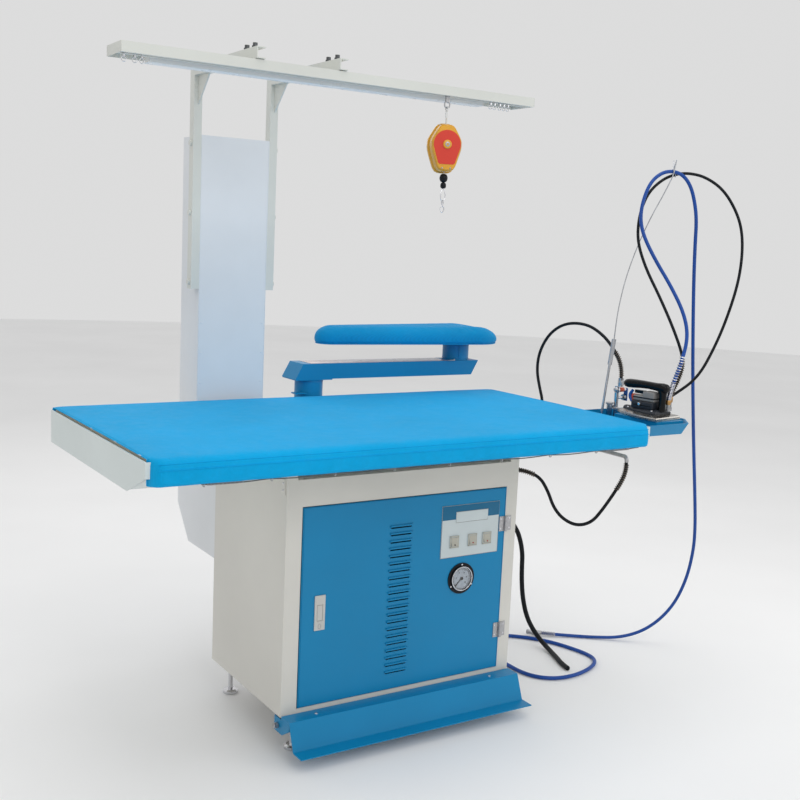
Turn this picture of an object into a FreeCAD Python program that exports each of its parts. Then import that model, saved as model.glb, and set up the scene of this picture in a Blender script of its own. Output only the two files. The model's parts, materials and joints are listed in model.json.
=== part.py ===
import FreeCAD, Part
import math
import os
import re

import Sketcher

# Industrial vacuum ironing table with built-in steam generator, all sizes in millimetres.
# X runs along the table, +Y away from the operator, +Z up. The origin is on the floor under the
# middle of the machine's box, hoses left out.

os.makedirs("parts", exist_ok=True)
doc = FreeCAD.newDocument("IroningTable")
Vec = FreeCAD.Vector

DIMENSIONS = {
    # cabinet
    "cab_left": -430, "cab_front": -270, "cab_width": 750, "cab_depth": 458, "cab_low": 104,
    "cab_height": 635, "wall": 2, "frame_side": 48, "frame_low": 18, "door_width": 660,
    "door_height": 543, "door_thick": 20, "door_gap": 2, "foot_inset": 50, "foot_r": 22,
    "louvre_left": 270, "louvre_low": 45, "louvre_length": 66, "louvre_pitch": 20.7,
    "louvre_slot": 5, "panel_left": 54, "panel_low": 477, "panel_width": 200,
    "panel_height": 151, "switch_level": 523, "switch_width": 30, "switch_height": 34,
    "gauge_x": 130, "gauge_z": 412, "gauge_r": 45, "latch_left": -341, "latch_low": 329,
    "latch_width": 31, "latch_height": 95, "hinge_width": 42, "hinge_height": 44,
    # table
    "table_left": -862, "table_length": 1498, "table_front": -455, "table_rear": 295,
    "table_low": 768, "table_deck": 838, "table_top": 865, "bevel_height": 51,
    "bevel_depth": 120, "cover_front": -484, "cover_rear": 310, "cover_skirt": 806,
    "cover_thick": 3, "cap_thick": 4, "cap_top": 855, "hole_pitch": 95, "hole_r": 6,
    # duct and overhead frame
    "duct_left": -430, "duct_width": 217, "column_front": 345, "column_rear": 484,
    "column_low": 760, "column_top": 1635, "duct_low": 412, "duct_kick": 516,
    "post_width": 25, "post_depth": 30, "post_low": 1190, "arm_low": 1800, "arm_height": 30,
    "arm_front": -75, "rail_left": -804, "rail_length": 1260, "rail_front": -70,
    "rail_depth": 110, "rail_height": 26, "glide_y": -52, "balancer_x": 153,
    # sleeve board
    "pillar_x": -45, "pillar_y": 362, "pillar_r": 45, "swing_low": 914, "swing_height": 49,
    "swing_width": 95, "swing_span": 568, "board_low": 1023, "board_thick": 56,
    "nose_r": 52, "heel_r": 113, "nose_x": 25, "heel_x": 560, "pin_r": 15,
    # iron station
    "tray_left": 650, "tray_right": 872, "tray_front": -450, "tray_rear": -140,
    "tray_low": 820, "tray_top": 855, "tray_flare": 18, "rest_top": 857, "iron_x": 775,
    "iron_y": -405, "sole_width": 124, "sole_length": 190, "sole_thick": 13,
    "iron_turn": 9, "manifold_x": 768, "manifold_y": -185, "support_x": 706, "support_y": -186,
    # hoses, outside diameters
    "steam_dia": 11, "return_dia": 9, "loop_dia": 10, "feed_dia": 10, "drain_dia": 16,
    "water_dia": 12,
    # foot pedal and damper
    "pedal_y": -258, "pedal_z": 80, "duct_x": -270, "duct_y": -40, "duct_side": 160,
    "damper_z": 650,
}

sheet = doc.addObject("Spreadsheet::Sheet", "Dims")
for row, (alias, value) in enumerate(DIMENSIONS.items(), start=1):
    sheet.set("A%d" % row, alias.replace("_", " "))
    sheet.set("B%d" % row, str(value))
    sheet.setAlias("B%d" % row, alias)
doc.recompute()


# ---------------------------------------------------------------- helpers

def formula(text):
    """Expression text with every dimension's name pointed at the sheet."""
    return re.sub(r"[a-z_]+", lambda word: "Dims." + word[0] if word[0] in DIMENSIONS else word[0],
                  str(text))


def size(text):
    """The number that an expression of dimension names gives now."""
    return float(sheet.evalExpression(formula(text)))


def place(item, at, turn=None):
    """Put an object at three expressions, turned first when asked."""
    if turn is not None:
        item.Placement = FreeCAD.Placement(Vec(), turn)
    for axis, text in zip("xyz", at):
        item.setExpression("Placement.Base." + axis, formula(text))
    return item


def block(name, at, sides):
    item = doc.addObject("Part::Box", name)
    for side, text in zip(("Length", "Width", "Height"), sides):
        item.setExpression(side, formula(text))
    return place(item, at)


AIM = {
    "X": FreeCAD.Rotation(Vec(0, 1, 0), 90),
    "Y": FreeCAD.Rotation(Vec(1, 0, 0), -90),
    "Z": FreeCAD.Rotation(),
}


def rod(name, at, radius, length, along="Z"):
    item = doc.addObject("Part::Cylinder", name)
    item.setExpression("Radius", formula(radius))
    item.setExpression("Height", formula(length))
    return place(item, at, AIM[along])


def ball(name, at, radius):
    item = doc.addObject("Part::Sphere", name)
    item.setExpression("Radius", formula(radius))
    return place(item, at)


def ring(name, at, radius, wire, along="Y"):
    item = doc.addObject("Part::Torus", name)
    item.setExpression("Radius1", formula(radius))
    item.setExpression("Radius2", formula(wire))
    return place(item, at, AIM[along])


def join(name, pieces):
    item = doc.addObject("Part::MultiFuse", name)
    item.Shapes = pieces
    item.Refine = True
    return item


def group(name, pieces):
    item = doc.addObject("Part::Compound", name)
    item.Links = pieces
    return item


def carve(name, base, tool):
    item = doc.addObject("Part::Cut", name)
    item.Base = base
    item.Tool = tool
    return item


def origin_plane(body, role):
    return [plane for plane in body.Origin.OriginFeatures if plane.Role == role][0]


def outline(body, name, role, corners):
    """Closed polygon sketch whose corners are bound to the sheet's cells."""
    sketch = body.newObject("Sketcher::SketchObject", name)
    sketch.AttachmentSupport = (origin_plane(body, role), "")
    sketch.MapMode = "FlatFace"
    spots = [Vec(size(u), size(v), 0) for u, v in corners]
    for start, end in zip(spots, spots[1:] + spots[:1]):
        sketch.addGeometry(Part.LineSegment(start, end))
    for index in range(len(spots)):
        sketch.addConstraint(Sketcher.Constraint("Coincident", index, 2, (index + 1) % len(spots), 1))
    for index, (spot, corner) in enumerate(zip(spots, corners)):
        for kind, value, text in (("DistanceX", spot.x, corner[0]), ("DistanceY", spot.y, corner[1])):
            if abs(value) < 1e-9:
                axis = -2 if kind == "DistanceX" else -1
                sketch.addConstraint(Sketcher.Constraint("PointOnObject", index, 1, axis))
                continue
            number = sketch.addConstraint(Sketcher.Constraint(kind, -1, 1, index, 1, value))
            sketch.setExpression("Constraints[%d]" % number, formula(text))
    return sketch


def circles(body, name, role, rounds):
    """Sketch of circles, each (u, v, radius) as expressions."""
    sketch = body.newObject("Sketcher::SketchObject", name)
    sketch.AttachmentSupport = (origin_plane(body, role), "")
    sketch.MapMode = "FlatFace"
    for index, (u, v, radius) in enumerate(rounds):
        spot = Vec(size(u), size(v), 0)
        sketch.addGeometry(Part.Circle(spot, Vec(0, 0, 1), size(radius)))
        for kind, value, text in (("DistanceX", spot.x, u), ("DistanceY", spot.y, v)):
            number = sketch.addConstraint(Sketcher.Constraint(kind, -1, 1, index, 3, value))
            sketch.setExpression("Constraints[%d]" % number, formula(text))
        number = sketch.addConstraint(Sketcher.Constraint("Radius", index, size(radius)))
        sketch.setExpression("Constraints[%d]" % number, formula(radius))
    return sketch


def pad(body, sketch, length, backwards=False):
    item = body.newObject("PartDesign::Pad", sketch.Name + "Pad")
    item.Profile = sketch
    item.setExpression("Length", formula(length))
    item.Reversed = backwards
    sketch.Visibility = False
    return item


def pocket(body, sketch, length, backwards=False):
    item = body.newObject("PartDesign::Pocket", sketch.Name + "Pocket")
    item.Profile = sketch
    item.setExpression("Length", formula(length))
    item.Reversed = backwards
    return item


def extrusion(name, role, corners, length, at, backwards=False):
    """Body made of one polygon padded along its plane's normal."""
    body = doc.addObject("PartDesign::Body", name)
    sketch = outline(body, name + "Outline", role, corners)
    pad(body, sketch, length, backwards)
    return place(body, at)


def revolved(name, corners, at, turn=None):
    """Body turned from a half section given as (radius, height) about its own Z axis."""
    body = doc.addObject("PartDesign::Body", name)
    sketch = outline(body, name + "Section", "XZ_Plane", corners)
    turned = body.newObject("PartDesign::Revolution", name + "Turned")
    turned.Profile = sketch
    turned.ReferenceAxis = (sketch, ["V_Axis"])
    turned.Angle = 360
    return place(body, at, turn)


parts = {}


def keep(node, item):
    """Register an object as a finished sub-part under its node name."""
    item.Label = node
    parts[node] = item
    return item


# ---------------------------------------------------------------- cabinet

def cabinet():
    outer = block("CabinetOuter", ("cab_left", "cab_front", "cab_low"),
                  ("cab_width", "cab_depth", "cab_height"))
    room = block("CabinetRoom", ("cab_left + wall", "cab_front + wall", "cab_low + wall"),
                 ("cab_width - 2 * wall", "cab_depth - 2 * wall", "cab_height - 2 * wall"))
    doorway = block("Doorway", ("cab_left + frame_side - door_gap", "cab_front - 5",
                                "cab_low + frame_low - door_gap"),
                    ("door_width + 2 * door_gap", "20", "door_height + 2 * door_gap"))
    neck = block("NeckHole", ("duct_x - duct_side / 2 - 1", "duct_y - duct_side / 2 - 1",
                              "cab_low + cab_height - 10"), ("duct_side + 2", "duct_side + 2", "20"))
    outlet = block("OutletHole", ("cab_left + 13", "cab_front + cab_depth - 10", "423"),
                   ("104", "20", "104"))
    shell = carve("CabinetShell", outer, join("CabinetVoids", [room, doorway, neck, outlet]))
    bearers = [block("Bearer%d" % side, ("cab_left + %d * (cab_width - 30)" % side, "cab_front",
                                         "cab_low + cab_height"),
                     ("30", "cab_depth", "table_low - cab_low - cab_height"))
               for side in (0, 1)]
    spigots = [rod("FeedSpigot", ("cab_left + cab_width", "-186", "694"), "8", "17", "X"),
               rod("DrainSpigot", ("250", "cab_front + cab_depth", "500"), "11", "18", "Y"),
               rod("WaterSpigot", ("180", "cab_front + cab_depth", "150"), "9", "18", "Y")]
    keep("cabinet_shell", join("CabinetWelded", [shell] + bearers + spigots))


def levelling_feet():
    section = [("0", "0"), ("foot_r", "0"), ("foot_r", "8"), ("foot_r - 6", "12"), ("7", "12"),
               ("7", "92"), ("12", "92"), ("12", "cab_low"), ("0", "cab_low")]
    feet = []
    for across in (0, 1):
        for back in (0, 1):
            spot = ("cab_left + foot_inset + %d * (cab_width - 2 * foot_inset)" % across,
                    "cab_front + 26 + %d * (cab_depth - 52)" % back, "0")
            feet.append(revolved("Foot%d%d" % (across, back), section, spot))
    keep("levelling_feet", group("Feet", feet))


def door():
    body = doc.addObject("PartDesign::Body", "Door")
    face = outline(body, "DoorFace", "XZ_Plane",
                   [("0", "0"), ("door_width", "0"), ("door_width", "door_height"), ("0", "door_height")])
    pad(body, face, "door_thick", backwards=True)
    back = outline(body, "DoorRecess", "XZ_Plane",
                   [("wall", "wall"), ("door_width - wall", "wall"),
                    ("door_width - wall", "door_height - wall"), ("wall", "door_height - wall")])
    # the recess starts behind the front sheet and leaves the pan open at the back
    back.AttachmentOffset = FreeCAD.Placement(Vec(0, 0, -size("wall")), FreeCAD.Rotation())
    pocket(body, back, "door_thick")
    end, top = "louvre_left + louvre_length", "louvre_low + louvre_slot"
    slot = outline(body, "LouvreSlot", "XZ_Plane",
                   [("louvre_left", "louvre_low"), (end, "louvre_low"), (end, top), ("louvre_left", top)])
    first = pocket(body, slot, "door_thick")
    first.Type = "ThroughAll"
    first.Midplane = True
    rows = body.newObject("PartDesign::LinearPattern", "LouvreRows")
    rows.Originals = [first]
    rows.Direction = (slot, ["V_Axis"])
    rows.setExpression("Length", formula("20 * louvre_pitch"))
    rows.Occurrences = 21
    body.Tip = rows
    place(body, ("cab_left + frame_side", "cab_front - wall", "cab_low + frame_low"))
    doc.recompute()
    gauge_hole = rod("GaugeHole", ("gauge_x", "cab_front - 10", "gauge_z"), "30.5", "40", "Y")
    hood = [block("Hood%d" % row, ("cab_left + frame_side + louvre_left - 3", "cab_front - wall - 4",
                                   "cab_low + frame_low + louvre_low + %d * louvre_pitch + louvre_slot"
                                   % row),
                  ("louvre_length + 6", "4", "4")) for row in range(21)]
    keep("door_panel", join("DoorWithHoods", [carve("DoorCut", body, gauge_hole)] + hood))


def door_hinges():
    """Two butt hinges whose pin line stands just in front of the door's right edge."""
    axis_x = "cab_left + frame_side + door_width + door_gap / 2"
    axis_y = "cab_front - wall - 5"
    fixed, moving = [], []
    for level in ("237", "558"):
        low = level + " - hinge_height / 2"
        fixed.append(block("FixedLeaf" + level, (axis_x + " + 4", "cab_front - wall", low),
                           ("hinge_width / 2 - 3", "wall", "hinge_height")))
        fixed.append(block("FixedWeb" + level, (axis_x + " + 4", axis_y, low + " + hinge_height / 3 + 0.3"),
                           ("2", "5", "hinge_height / 3 - 0.6")))
        knuckle = rod("FixedKnuckle" + level, (axis_x, axis_y, low + " + hinge_height / 3 + 0.3"), "4.5",
                      "hinge_height / 3 - 0.6")
        fixed.append(carve("FixedBarrel" + level, knuckle,
                           rod("PinHole" + level, (axis_x, axis_y, low), "2.05", "hinge_height")))
        moving.append(block("DoorLeaf" + level,
                            (axis_x + " - hinge_width / 2 - 1", "cab_front - wall - 2", low),
                            ("hinge_width / 2 - 3", "2", "hinge_height")))
        moving.append(rod("Pin" + level, (axis_x, axis_y, low), "2", "hinge_height"))
        for end in (0, 1):
            rise = low + " + %d * hinge_height * 2 / 3" % end
            moving.append(rod("DoorKnuckle%s%d" % (level, end), (axis_x, axis_y, rise), "4.5",
                              "hinge_height / 3"))
            moving.append(block("DoorWeb%s%d" % (level, end), (axis_x + " - 6", axis_y, rise),
                                ("2.5", "5", "hinge_height / 3")))
    keep("hinge_leaves_fixed", join("FixedLeaves", fixed))
    keep("hinge_leaves_door", join("DoorLeaves", moving))


def latch():
    plate = block("LatchPlate", ("latch_left", "cab_front - wall - 3", "latch_low"),
                  ("latch_width", "3", "latch_height"))
    recess = block("LatchRecess", ("latch_left + 7", "cab_front - wall - 4", "latch_low + 25"),
                   ("latch_width - 14", "3", "45"))
    keep("latch_plate", carve("LatchBase", plate, recess))
    paddle = block("PaddleFace", ("latch_left + 8", "cab_front - wall - 2.7", "latch_low + 27"),
                   ("latch_width - 16", "1.4", "41"))
    keep("latch_paddle", paddle)


def controls():
    plate = block("PanelPlate", ("panel_left", "cab_front - wall - 2", "panel_low"),
                  ("panel_width", "2", "panel_height"))
    bezels, windows = [plate], []
    for index, (name, spot) in enumerate((("left", "98"), ("middle", "161"), ("right", "212"))):
        left = spot + " - switch_width / 2"
        low = "switch_level - switch_height / 2"
        bezels.append(block("Bezel%d" % index, (left, "cab_front - wall - 5", low),
                            ("switch_width", "3", "switch_height")))
        windows.append(block("Window%d" % index, (left + " + 4", "cab_front - wall - 6", low + " + 4"),
                             ("switch_width - 8", "3.8", "switch_height - 8")))
        rocker = extrusion("Rocker" + name.title(), "YZ_Plane",
                           [("-3", "-12.5"), ("0", "-12.5"), ("2", "0"), ("0", "12.5"), ("-3", "12.5"),
                            ("-0.6", "0")],
                           "21", (spot + " - 10.5", "cab_front - wall - 5", "switch_level"))
        rocker.Placement.Rotation = FreeCAD.Rotation(Vec(1, 0, 0), -8)
        keep("switch_" + name, rocker)
    keep("control_panel", carve("PanelWithWindows", join("PanelAndBezels", bezels),
                                join("Windows", windows)))


def gauge():
    turn = FreeCAD.Rotation(Vec(1, 0, 0), 90)
    case = revolved("GaugeCase", [("0", "-40"), ("29", "-40"), ("29", "0"), ("gauge_r", "0"),
                                  ("gauge_r", "3"), ("36", "3"), ("36", "8"), ("33", "8"), ("33", "3.2"),
                                  ("3", "3.2"), ("3", "4.5"), ("0", "4.5")],
                    ("gauge_x", "cab_front - wall", "gauge_z"), turn)
    keep("gauge_case", case)
    hub = rod("NeedleHub", ("gauge_x", "cab_front - wall - 6.3", "gauge_z"), "4.5", "1.5", "Y")
    hand = doc.addObject("Part::Box", "NeedleHand")
    hand.Length, hand.Width, hand.Height = 2, 1, 30
    hand.Placement = FreeCAD.Placement(Vec(), FreeCAD.Rotation(Vec(0, 1, 0), -135))
    place(hand, ("gauge_x", "cab_front - wall - 6.1", "gauge_z"))
    keep("gauge_needle", join("Needle", [hub, hand]))


# ---------------------------------------------------------------- foot pedal and damper

def foot_pedal():
    plate = extrusion("PedalPlate", "YZ_Plane",
                      [("0", "3"), ("0", "0"), ("46", "0"), ("74.4", "69"), ("118", "69"),
                       ("118", "72"), ("72", "72"), ("43.7", "3")],
                      "cab_width", ("cab_left", "-394", "38"))
    ears = []
    for side in (0, 1):
        left = "cab_left + %d * (cab_width - 3)" % side
        ear = extrusion("PedalEar%d" % side, "YZ_Plane",
                        [("0", "46.8"), ("0", "25"), ("40", "0"), ("85", "0"), ("85", "40"),
                         ("45", "40"), ("45", "47"), ("0.8", "47")],
                        "3", (left, "-321", "60"))
        hole = rod("EarHole%d" % side, (left + " - 1", "pedal_y", "pedal_z"), "4.06", "6", "X")
        ears.append(carve("EarBored%d" % side, ear, hole))
    keep("foot_pedal", join("Pedal", [plate] + ears))
    brackets = []
    for side in (0, 1):
        left = "cab_left + 4 + %d * (cab_width - 12)" % side
        brackets.append(block("PedalBracket%d" % side, (left, "pedal_y - 11", "64"),
                              ("4", "34", "cab_low - 64")))
        brackets.append(rod("PedalPivot%d" % side, ("cab_left - 3 + %d * (cab_width - 8)" % side,
                                                   "pedal_y", "pedal_z"), "4", "14", "X"))
        brackets.append(rod("PivotHead%d" % side, ("cab_left - 8 + %d * (cab_width + 11)" % side,
                                                  "pedal_y", "pedal_z"), "8", "5", "X"))
    keep("pedal_brackets", join("Brackets", brackets))


def suction_duct():
    corner = ("duct_x - duct_side / 2", "duct_y - duct_side / 2", "541")
    outer = block("DuctOuter", corner, ("duct_side", "duct_side", "table_low - 541"))
    inner = block("DuctInner", ("duct_x - duct_side / 2 + wall", "duct_y - duct_side / 2 + wall", "543"),
                  ("duct_side - 2 * wall", "duct_side - 2 * wall", "300"))
    mouth = rod("DuctMouth", ("duct_x", "duct_y", "530"), "60", "30")
    bore = rod("DamperBore", ("duct_x - 120", "duct_y", "damper_z"), "4.06", "240", "X")
    keep("suction_duct", carve("Duct", outer, join("DuctVoids", [inner, mouth, bore])))
    leaf = block("DamperLeaf", ("duct_x - 74", "duct_y - 74", "damper_z - 1"), ("148", "148", "2"))
    shaft = rod("DamperShaft", ("duct_x - 95", "duct_y", "damper_z"), "4", "190", "X")
    crank = block("DamperCrank", ("duct_x + 88", "duct_y - 4", "damper_z - 45"), ("5", "8", "50"))
    keep("damper_flap", join("Damper", [leaf, shaft, crank]))


# ---------------------------------------------------------------- machinery inside the cabinet

def blower():
    scroll = rod("ScrollOuter", ("duct_x", "duct_y", "420"), "142", "111")
    spout = block("SpoutOuter", ("cab_left + 14", "duct_y", "424"),
                  ("102", "cab_front + cab_depth - duct_y", "102"))
    hollow = rod("ScrollInner", ("duct_x", "duct_y", "423"), "140", "106")
    throat = block("SpoutInner", ("cab_left + 16", "duct_y", "426"),
                   ("98", "cab_front + cab_depth - duct_y + 5", "98"))
    eye = rod("ScrollEye", ("duct_x", "duct_y", "520"), "60", "30")
    neck = rod("EyeNeck", ("duct_x", "duct_y", "529"), "64", "12")
    shaft_hole = rod("ShaftHole", ("duct_x", "duct_y", "415"), "14", "12")
    keep("blower_housing", carve("Scroll", join("ScrollSolid", [scroll, spout, neck]),
                                 join("ScrollVoids", [hollow, throat, eye, shaft_hole])))
    disc = rod("ImpellerDisc", ("duct_x", "duct_y", "432"), "118", "3")
    hub = rod("ImpellerHub", ("duct_x", "duct_y", "426"), "18", "50")
    shaft = rod("ImpellerShaft", ("duct_x", "duct_y", "340"), "8", "100")
    blades = []
    for index in range(12):
        blade = doc.addObject("Part::Box", "Blade%d" % index)
        blade.Length, blade.Width, blade.Height = 48, 3, 70
        turn = FreeCAD.Rotation(Vec(0, 0, 1), 30 * index)
        blade.Placement = FreeCAD.Placement(Vec(), turn)
        reach = turn.multVec(Vec(66, 0, 0))
        place(blade, ("duct_x + %.4f" % reach.x, "duct_y + %.4f" % reach.y, "434"))
        blades.append(blade)
    keep("blower_impeller", join("Impeller", [disc, hub, shaft] + blades))
    case = rod("MotorCase", ("duct_x", "duct_y", "200"), "70", "220")
    foot = block("MotorFoot", ("duct_x - 70", "duct_y - 60", "106"), ("140", "120", "110"))
    bore = rod("MotorBore", ("duct_x", "duct_y", "335"), "8.06", "100")
    keep("blower_motor", carve("Motor", join("MotorSolid", [case, foot]), bore))


def steam_generator():
    shell = rod("BoilerShell", ("-70", "20", "370"), "100", "340", "X")
    flange = rod("HeaterFlange", ("270", "20", "370"), "62", "14", "X")
    terminals = rod("HeaterCap", ("284", "20", "370"), "40", "22", "X")
    saddles = [block("Saddle%d" % index, ("%d" % left, "-40", "106"), ("20", "120", "200"))
               for index, left in enumerate((-40, 220))]
    valve = rod("SafetyValve", ("60", "20", "465"), "11", "62")
    outlet = rod("SteamOutlet", ("160", "20", "465"), "9", "40")
    room = rod("BoilerRoom", ("-66", "20", "370"), "96", "332", "X")
    solid = join("BoilerSolid", [shell, flange, terminals, valve, outlet] + saddles)
    keep("boiler_tank", carve("Boiler", solid, room))
    tank = block("TankOuter", ("10", "-235", "106"), ("180", "150", "130"))
    keep("water_tank", carve("Tank", tank, block("TankInner", ("14", "-231", "110"), ("172", "142", "140"))))
    motor = rod("PumpMotor", ("-150", "150", "150"), "34", "110", "X")
    stand = block("PumpFoot", ("-140", "116", "106"), ("80", "68", "30"))
    head = rod("PumpHead", ("-40", "150", "150"), "28", "30", "X")
    keep("feed_pump", join("Pump", [motor, stand, head]))


# ---------------------------------------------------------------- exhaust duct and column

def exhaust():
    reach = "column_rear - cab_front - cab_depth"
    outer = extrusion("ElbowOuter", "YZ_Plane",
                      [("0", "0"), (reach + " - 92", "0"), (reach, "duct_kick - duct_low"),
                       (reach, "column_low - duct_low"), ("0", "column_low - duct_low")],
                      "duct_width", ("duct_left", "cab_front + cab_depth", "duct_low"))
    inner = extrusion("ElbowInner", "YZ_Plane",
                      [("0", "0"), (reach + " - 93", "0"),
                       (reach + " - wall", "duct_kick - duct_low - wall"),
                       (reach + " - wall", "column_low - duct_low - 2 * wall"),
                       ("0", "column_low - duct_low - 2 * wall")],
                      "duct_width - 2 * wall",
                      ("duct_left + wall", "cab_front + cab_depth", "duct_low + wall"))
    riser = block("ElbowRiser", ("duct_left + wall", "column_front + wall", "column_low - 20"),
                  ("duct_width - 2 * wall", "column_rear - column_front - 2 * wall", "40"))
    keep("exhaust_duct", carve("Elbow", outer, join("ElbowVoids", [inner, riser])))
    body = doc.addObject("PartDesign::Body", "Column")
    depth = "column_rear - column_front"
    base = outline(body, "ColumnSection", "XY_Plane",
                   [("0", "0"), ("duct_width", "0"), ("duct_width", depth), ("0", depth)])
    pad(body, base, "column_top - column_low")
    core = outline(body, "ColumnCore", "XY_Plane",
                   [("wall", "wall"), ("duct_width - wall", "wall"),
                    ("duct_width - wall", depth + " - wall"), ("wall", depth + " - wall")])
    pocket(body, core, "column_top - column_low - wall", backwards=True)
    slot = outline(body, "OutletSlot", "XY_Plane",
                   [("24", "20"), ("duct_width - 24", "20"), ("duct_width - 24", "30"), ("24", "30")])
    cut = pocket(body, slot, "column_top - column_low", backwards=True)
    rows = body.newObject("PartDesign::LinearPattern", "OutletRows")
    rows.Originals = [cut]
    rows.Direction = (slot, ["V_Axis"])
    rows.Length = 88
    rows.Occurrences = 5
    body.Tip = rows
    keep("exhaust_column", place(body, ("duct_left", "column_front", "column_low")))


# ---------------------------------------------------------------- overhead frame

def overhead_frame():
    posts, arms = [], []
    for side in (0, 1):
        left = "duct_left - post_width + %d * (duct_width + post_width)" % side
        tube = block("Post%d" % side, (left, "column_front", "post_low"),
                     ("post_width", "post_depth", "arm_low - post_low"))
        core = block("PostCore%d" % side, (left + " + wall", "column_front + wall", "post_low - 1"),
                     ("post_width - 2 * wall", "post_depth - 2 * wall", "arm_low - post_low + 2"))
        posts.append(carve("PostTube%d" % side, tube, core))
        head_x = "duct_left - post_width - 6 + %d * (duct_width + 2 * post_width + 6)" % side
        for level in ("post_low + 20", "post_low + 222", "post_low + 421"):
            posts.append(rod("PostBolt%d%s" % (side, level[-3:].strip()),
                             (head_x, "column_front + post_depth / 2", level), "8", "6", "X"))
        channel = extrusion("Arm%d" % side, "XZ_Plane",
                            [("0", "0"), ("post_width", "0"), ("post_width", "3"), ("3", "3"),
                             ("3", "arm_height - 3"), ("post_width", "arm_height - 3"),
                             ("post_width", "arm_height"), ("0", "arm_height")],
                            "column_front + post_depth - arm_front", (left, "arm_front", "arm_low"),
                            backwards=True)
        gusset = extrusion("Gusset%d" % side, "YZ_Plane", [("0", "80"), ("80", "0"), ("80", "80")], "4",
                           (left + " + post_width / 2", "column_front - 80", "arm_low - 80"))
        arms += [channel, gusset]
        for spot in ("-35", "15"):
            arms.append(rod("ArmBolt%d%s" % (side, spot.strip("-")),
                            (left + " + post_width / 2", spot, "arm_low + arm_height"), "6", "14"))
        arms.append(block("ArmSpacer%d" % side, (left, "arm_front + 10", "arm_low - 2"),
                          ("post_width", "90", "2")))
    keep("support_posts", group("Posts", posts))
    keep("support_arms", join("Arms", arms))


def overhead_rail():
    """Inverted channel with a slotted glider track along its front chamber."""
    top = "rail_height"
    corners = [("0", "0"), ("13", "0"), ("13", "wall"), ("wall", "wall"), ("wall", top + " - wall"),
               ("34", top + " - wall"), ("34", "wall"), ("23", "wall"), ("23", "0"), ("36", "0"),
               ("36", top + " - wall"), ("rail_depth - wall", top + " - wall"),
               ("rail_depth - wall", "0"), ("rail_depth", "0"), ("rail_depth", top), ("0", top)]
    rail = extrusion("Rail", "YZ_Plane", corners, "rail_length",
                     ("rail_left", "rail_front", "arm_low - 2 - rail_height"))
    keep("overhead_rail", rail)
    keep("light_bar", block("LightBar", ("-719", "-18", "1764"), ("1026", "40", "32")))
    for name, spots in (("left", (-793, -766, -748)), ("right", (307, 322, 341, 356, 371))):
        pieces = []
        for index, spot in enumerate(spots):
            tag = "%s%d" % (name.title(), index)
            pieces.append(block("Glider" + tag, ("%d" % (spot - 4), "glide_y - 9", "1776"), ("8", "18", "9")))
            pieces.append(block("GliderNeck" + tag, ("%d" % (spot - 2), "glide_y - 3", "1764"),
                                ("4", "6", "13")))
            pieces.append(ring("GliderRing" + tag, ("%d" % spot, "glide_y", "1758"), "6", "1.2"))
        keep("rings_" + name, join("Rings" + name.title(), pieces))


def balancer():
    carriage = block("Carriage", ("balancer_x - 15", "glide_y - 11", "1776"), ("30", "22", "14"))
    neck = block("CarriageNeck", ("balancer_x - 6", "glide_y - 3", "1756"), ("12", "6", "21"))
    eye = ring("CarriageEye", ("balancer_x", "glide_y", "1748"), "9", "2", "Y")
    keep("balancer_trolley", join("Trolley", [carriage, neck, eye]))
    half = [("35", "141"), ("77", "141"), ("105.5", "95"), ("105.5", "66"), ("82.5", "0"), ("29.5", "0"),
            ("6.5", "66"), ("6.5", "95")]
    shell = extrusion("BalancerShell", "XZ_Plane", half, "52", ("balancer_x - 56", "glide_y - 26", "1556"),
                      backwards=True)
    hub = rod("BalancerHub", ("balancer_x", "glide_y - 30", "1635"), "20", "60", "Y")
    case = join("BalancerCase", [shell, hub])
    # it hangs free and has turned a little on its strap
    case.Placement = FreeCAD.Placement(Vec(), FreeCAD.Rotation(Vec(0, 0, 1), -20),
                                       Vec(size("balancer_x"), size("glide_y"), 0))
    hanger = rod("BalancerHanger", ("balancer_x", "glide_y", "1695"), "2.5", "36")
    eyelet = ring("BalancerEyelet", ("balancer_x", "glide_y", "1737.2"), "6", "1.8", "X")
    mouth = rod("CableBore", ("balancer_x", "glide_y", "1540"), "4", "48")
    keep("balancer_body", carve("BalancerBored", join("BalancerSolid", [case, hanger, eyelet]), mouth))
    keep("balancer_cable", rod("Cable", ("balancer_x", "glide_y", "1554"), "1.5", "22"))
    beads = [ball("StopBall", ("balancer_x", "glide_y", "1542"), "12"),
             ball("StopBead", ("balancer_x", "glide_y", "1521"), "8.5"),
             rod("HookStem", ("balancer_x", "glide_y", "1490"), "1.8", "45"),
             ring("HookSwivel", ("balancer_x", "glide_y", "1482"), "8", "1.8"),
             rod("HookNeck", ("balancer_x", "glide_y", "1462"), "3", "14"),
             ring("HookBow", ("balancer_x", "glide_y", "1454"), "8", "1.8")]
    keep("balancer_hook", join("Hook", beads))


# ---------------------------------------------------------------- table

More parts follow.
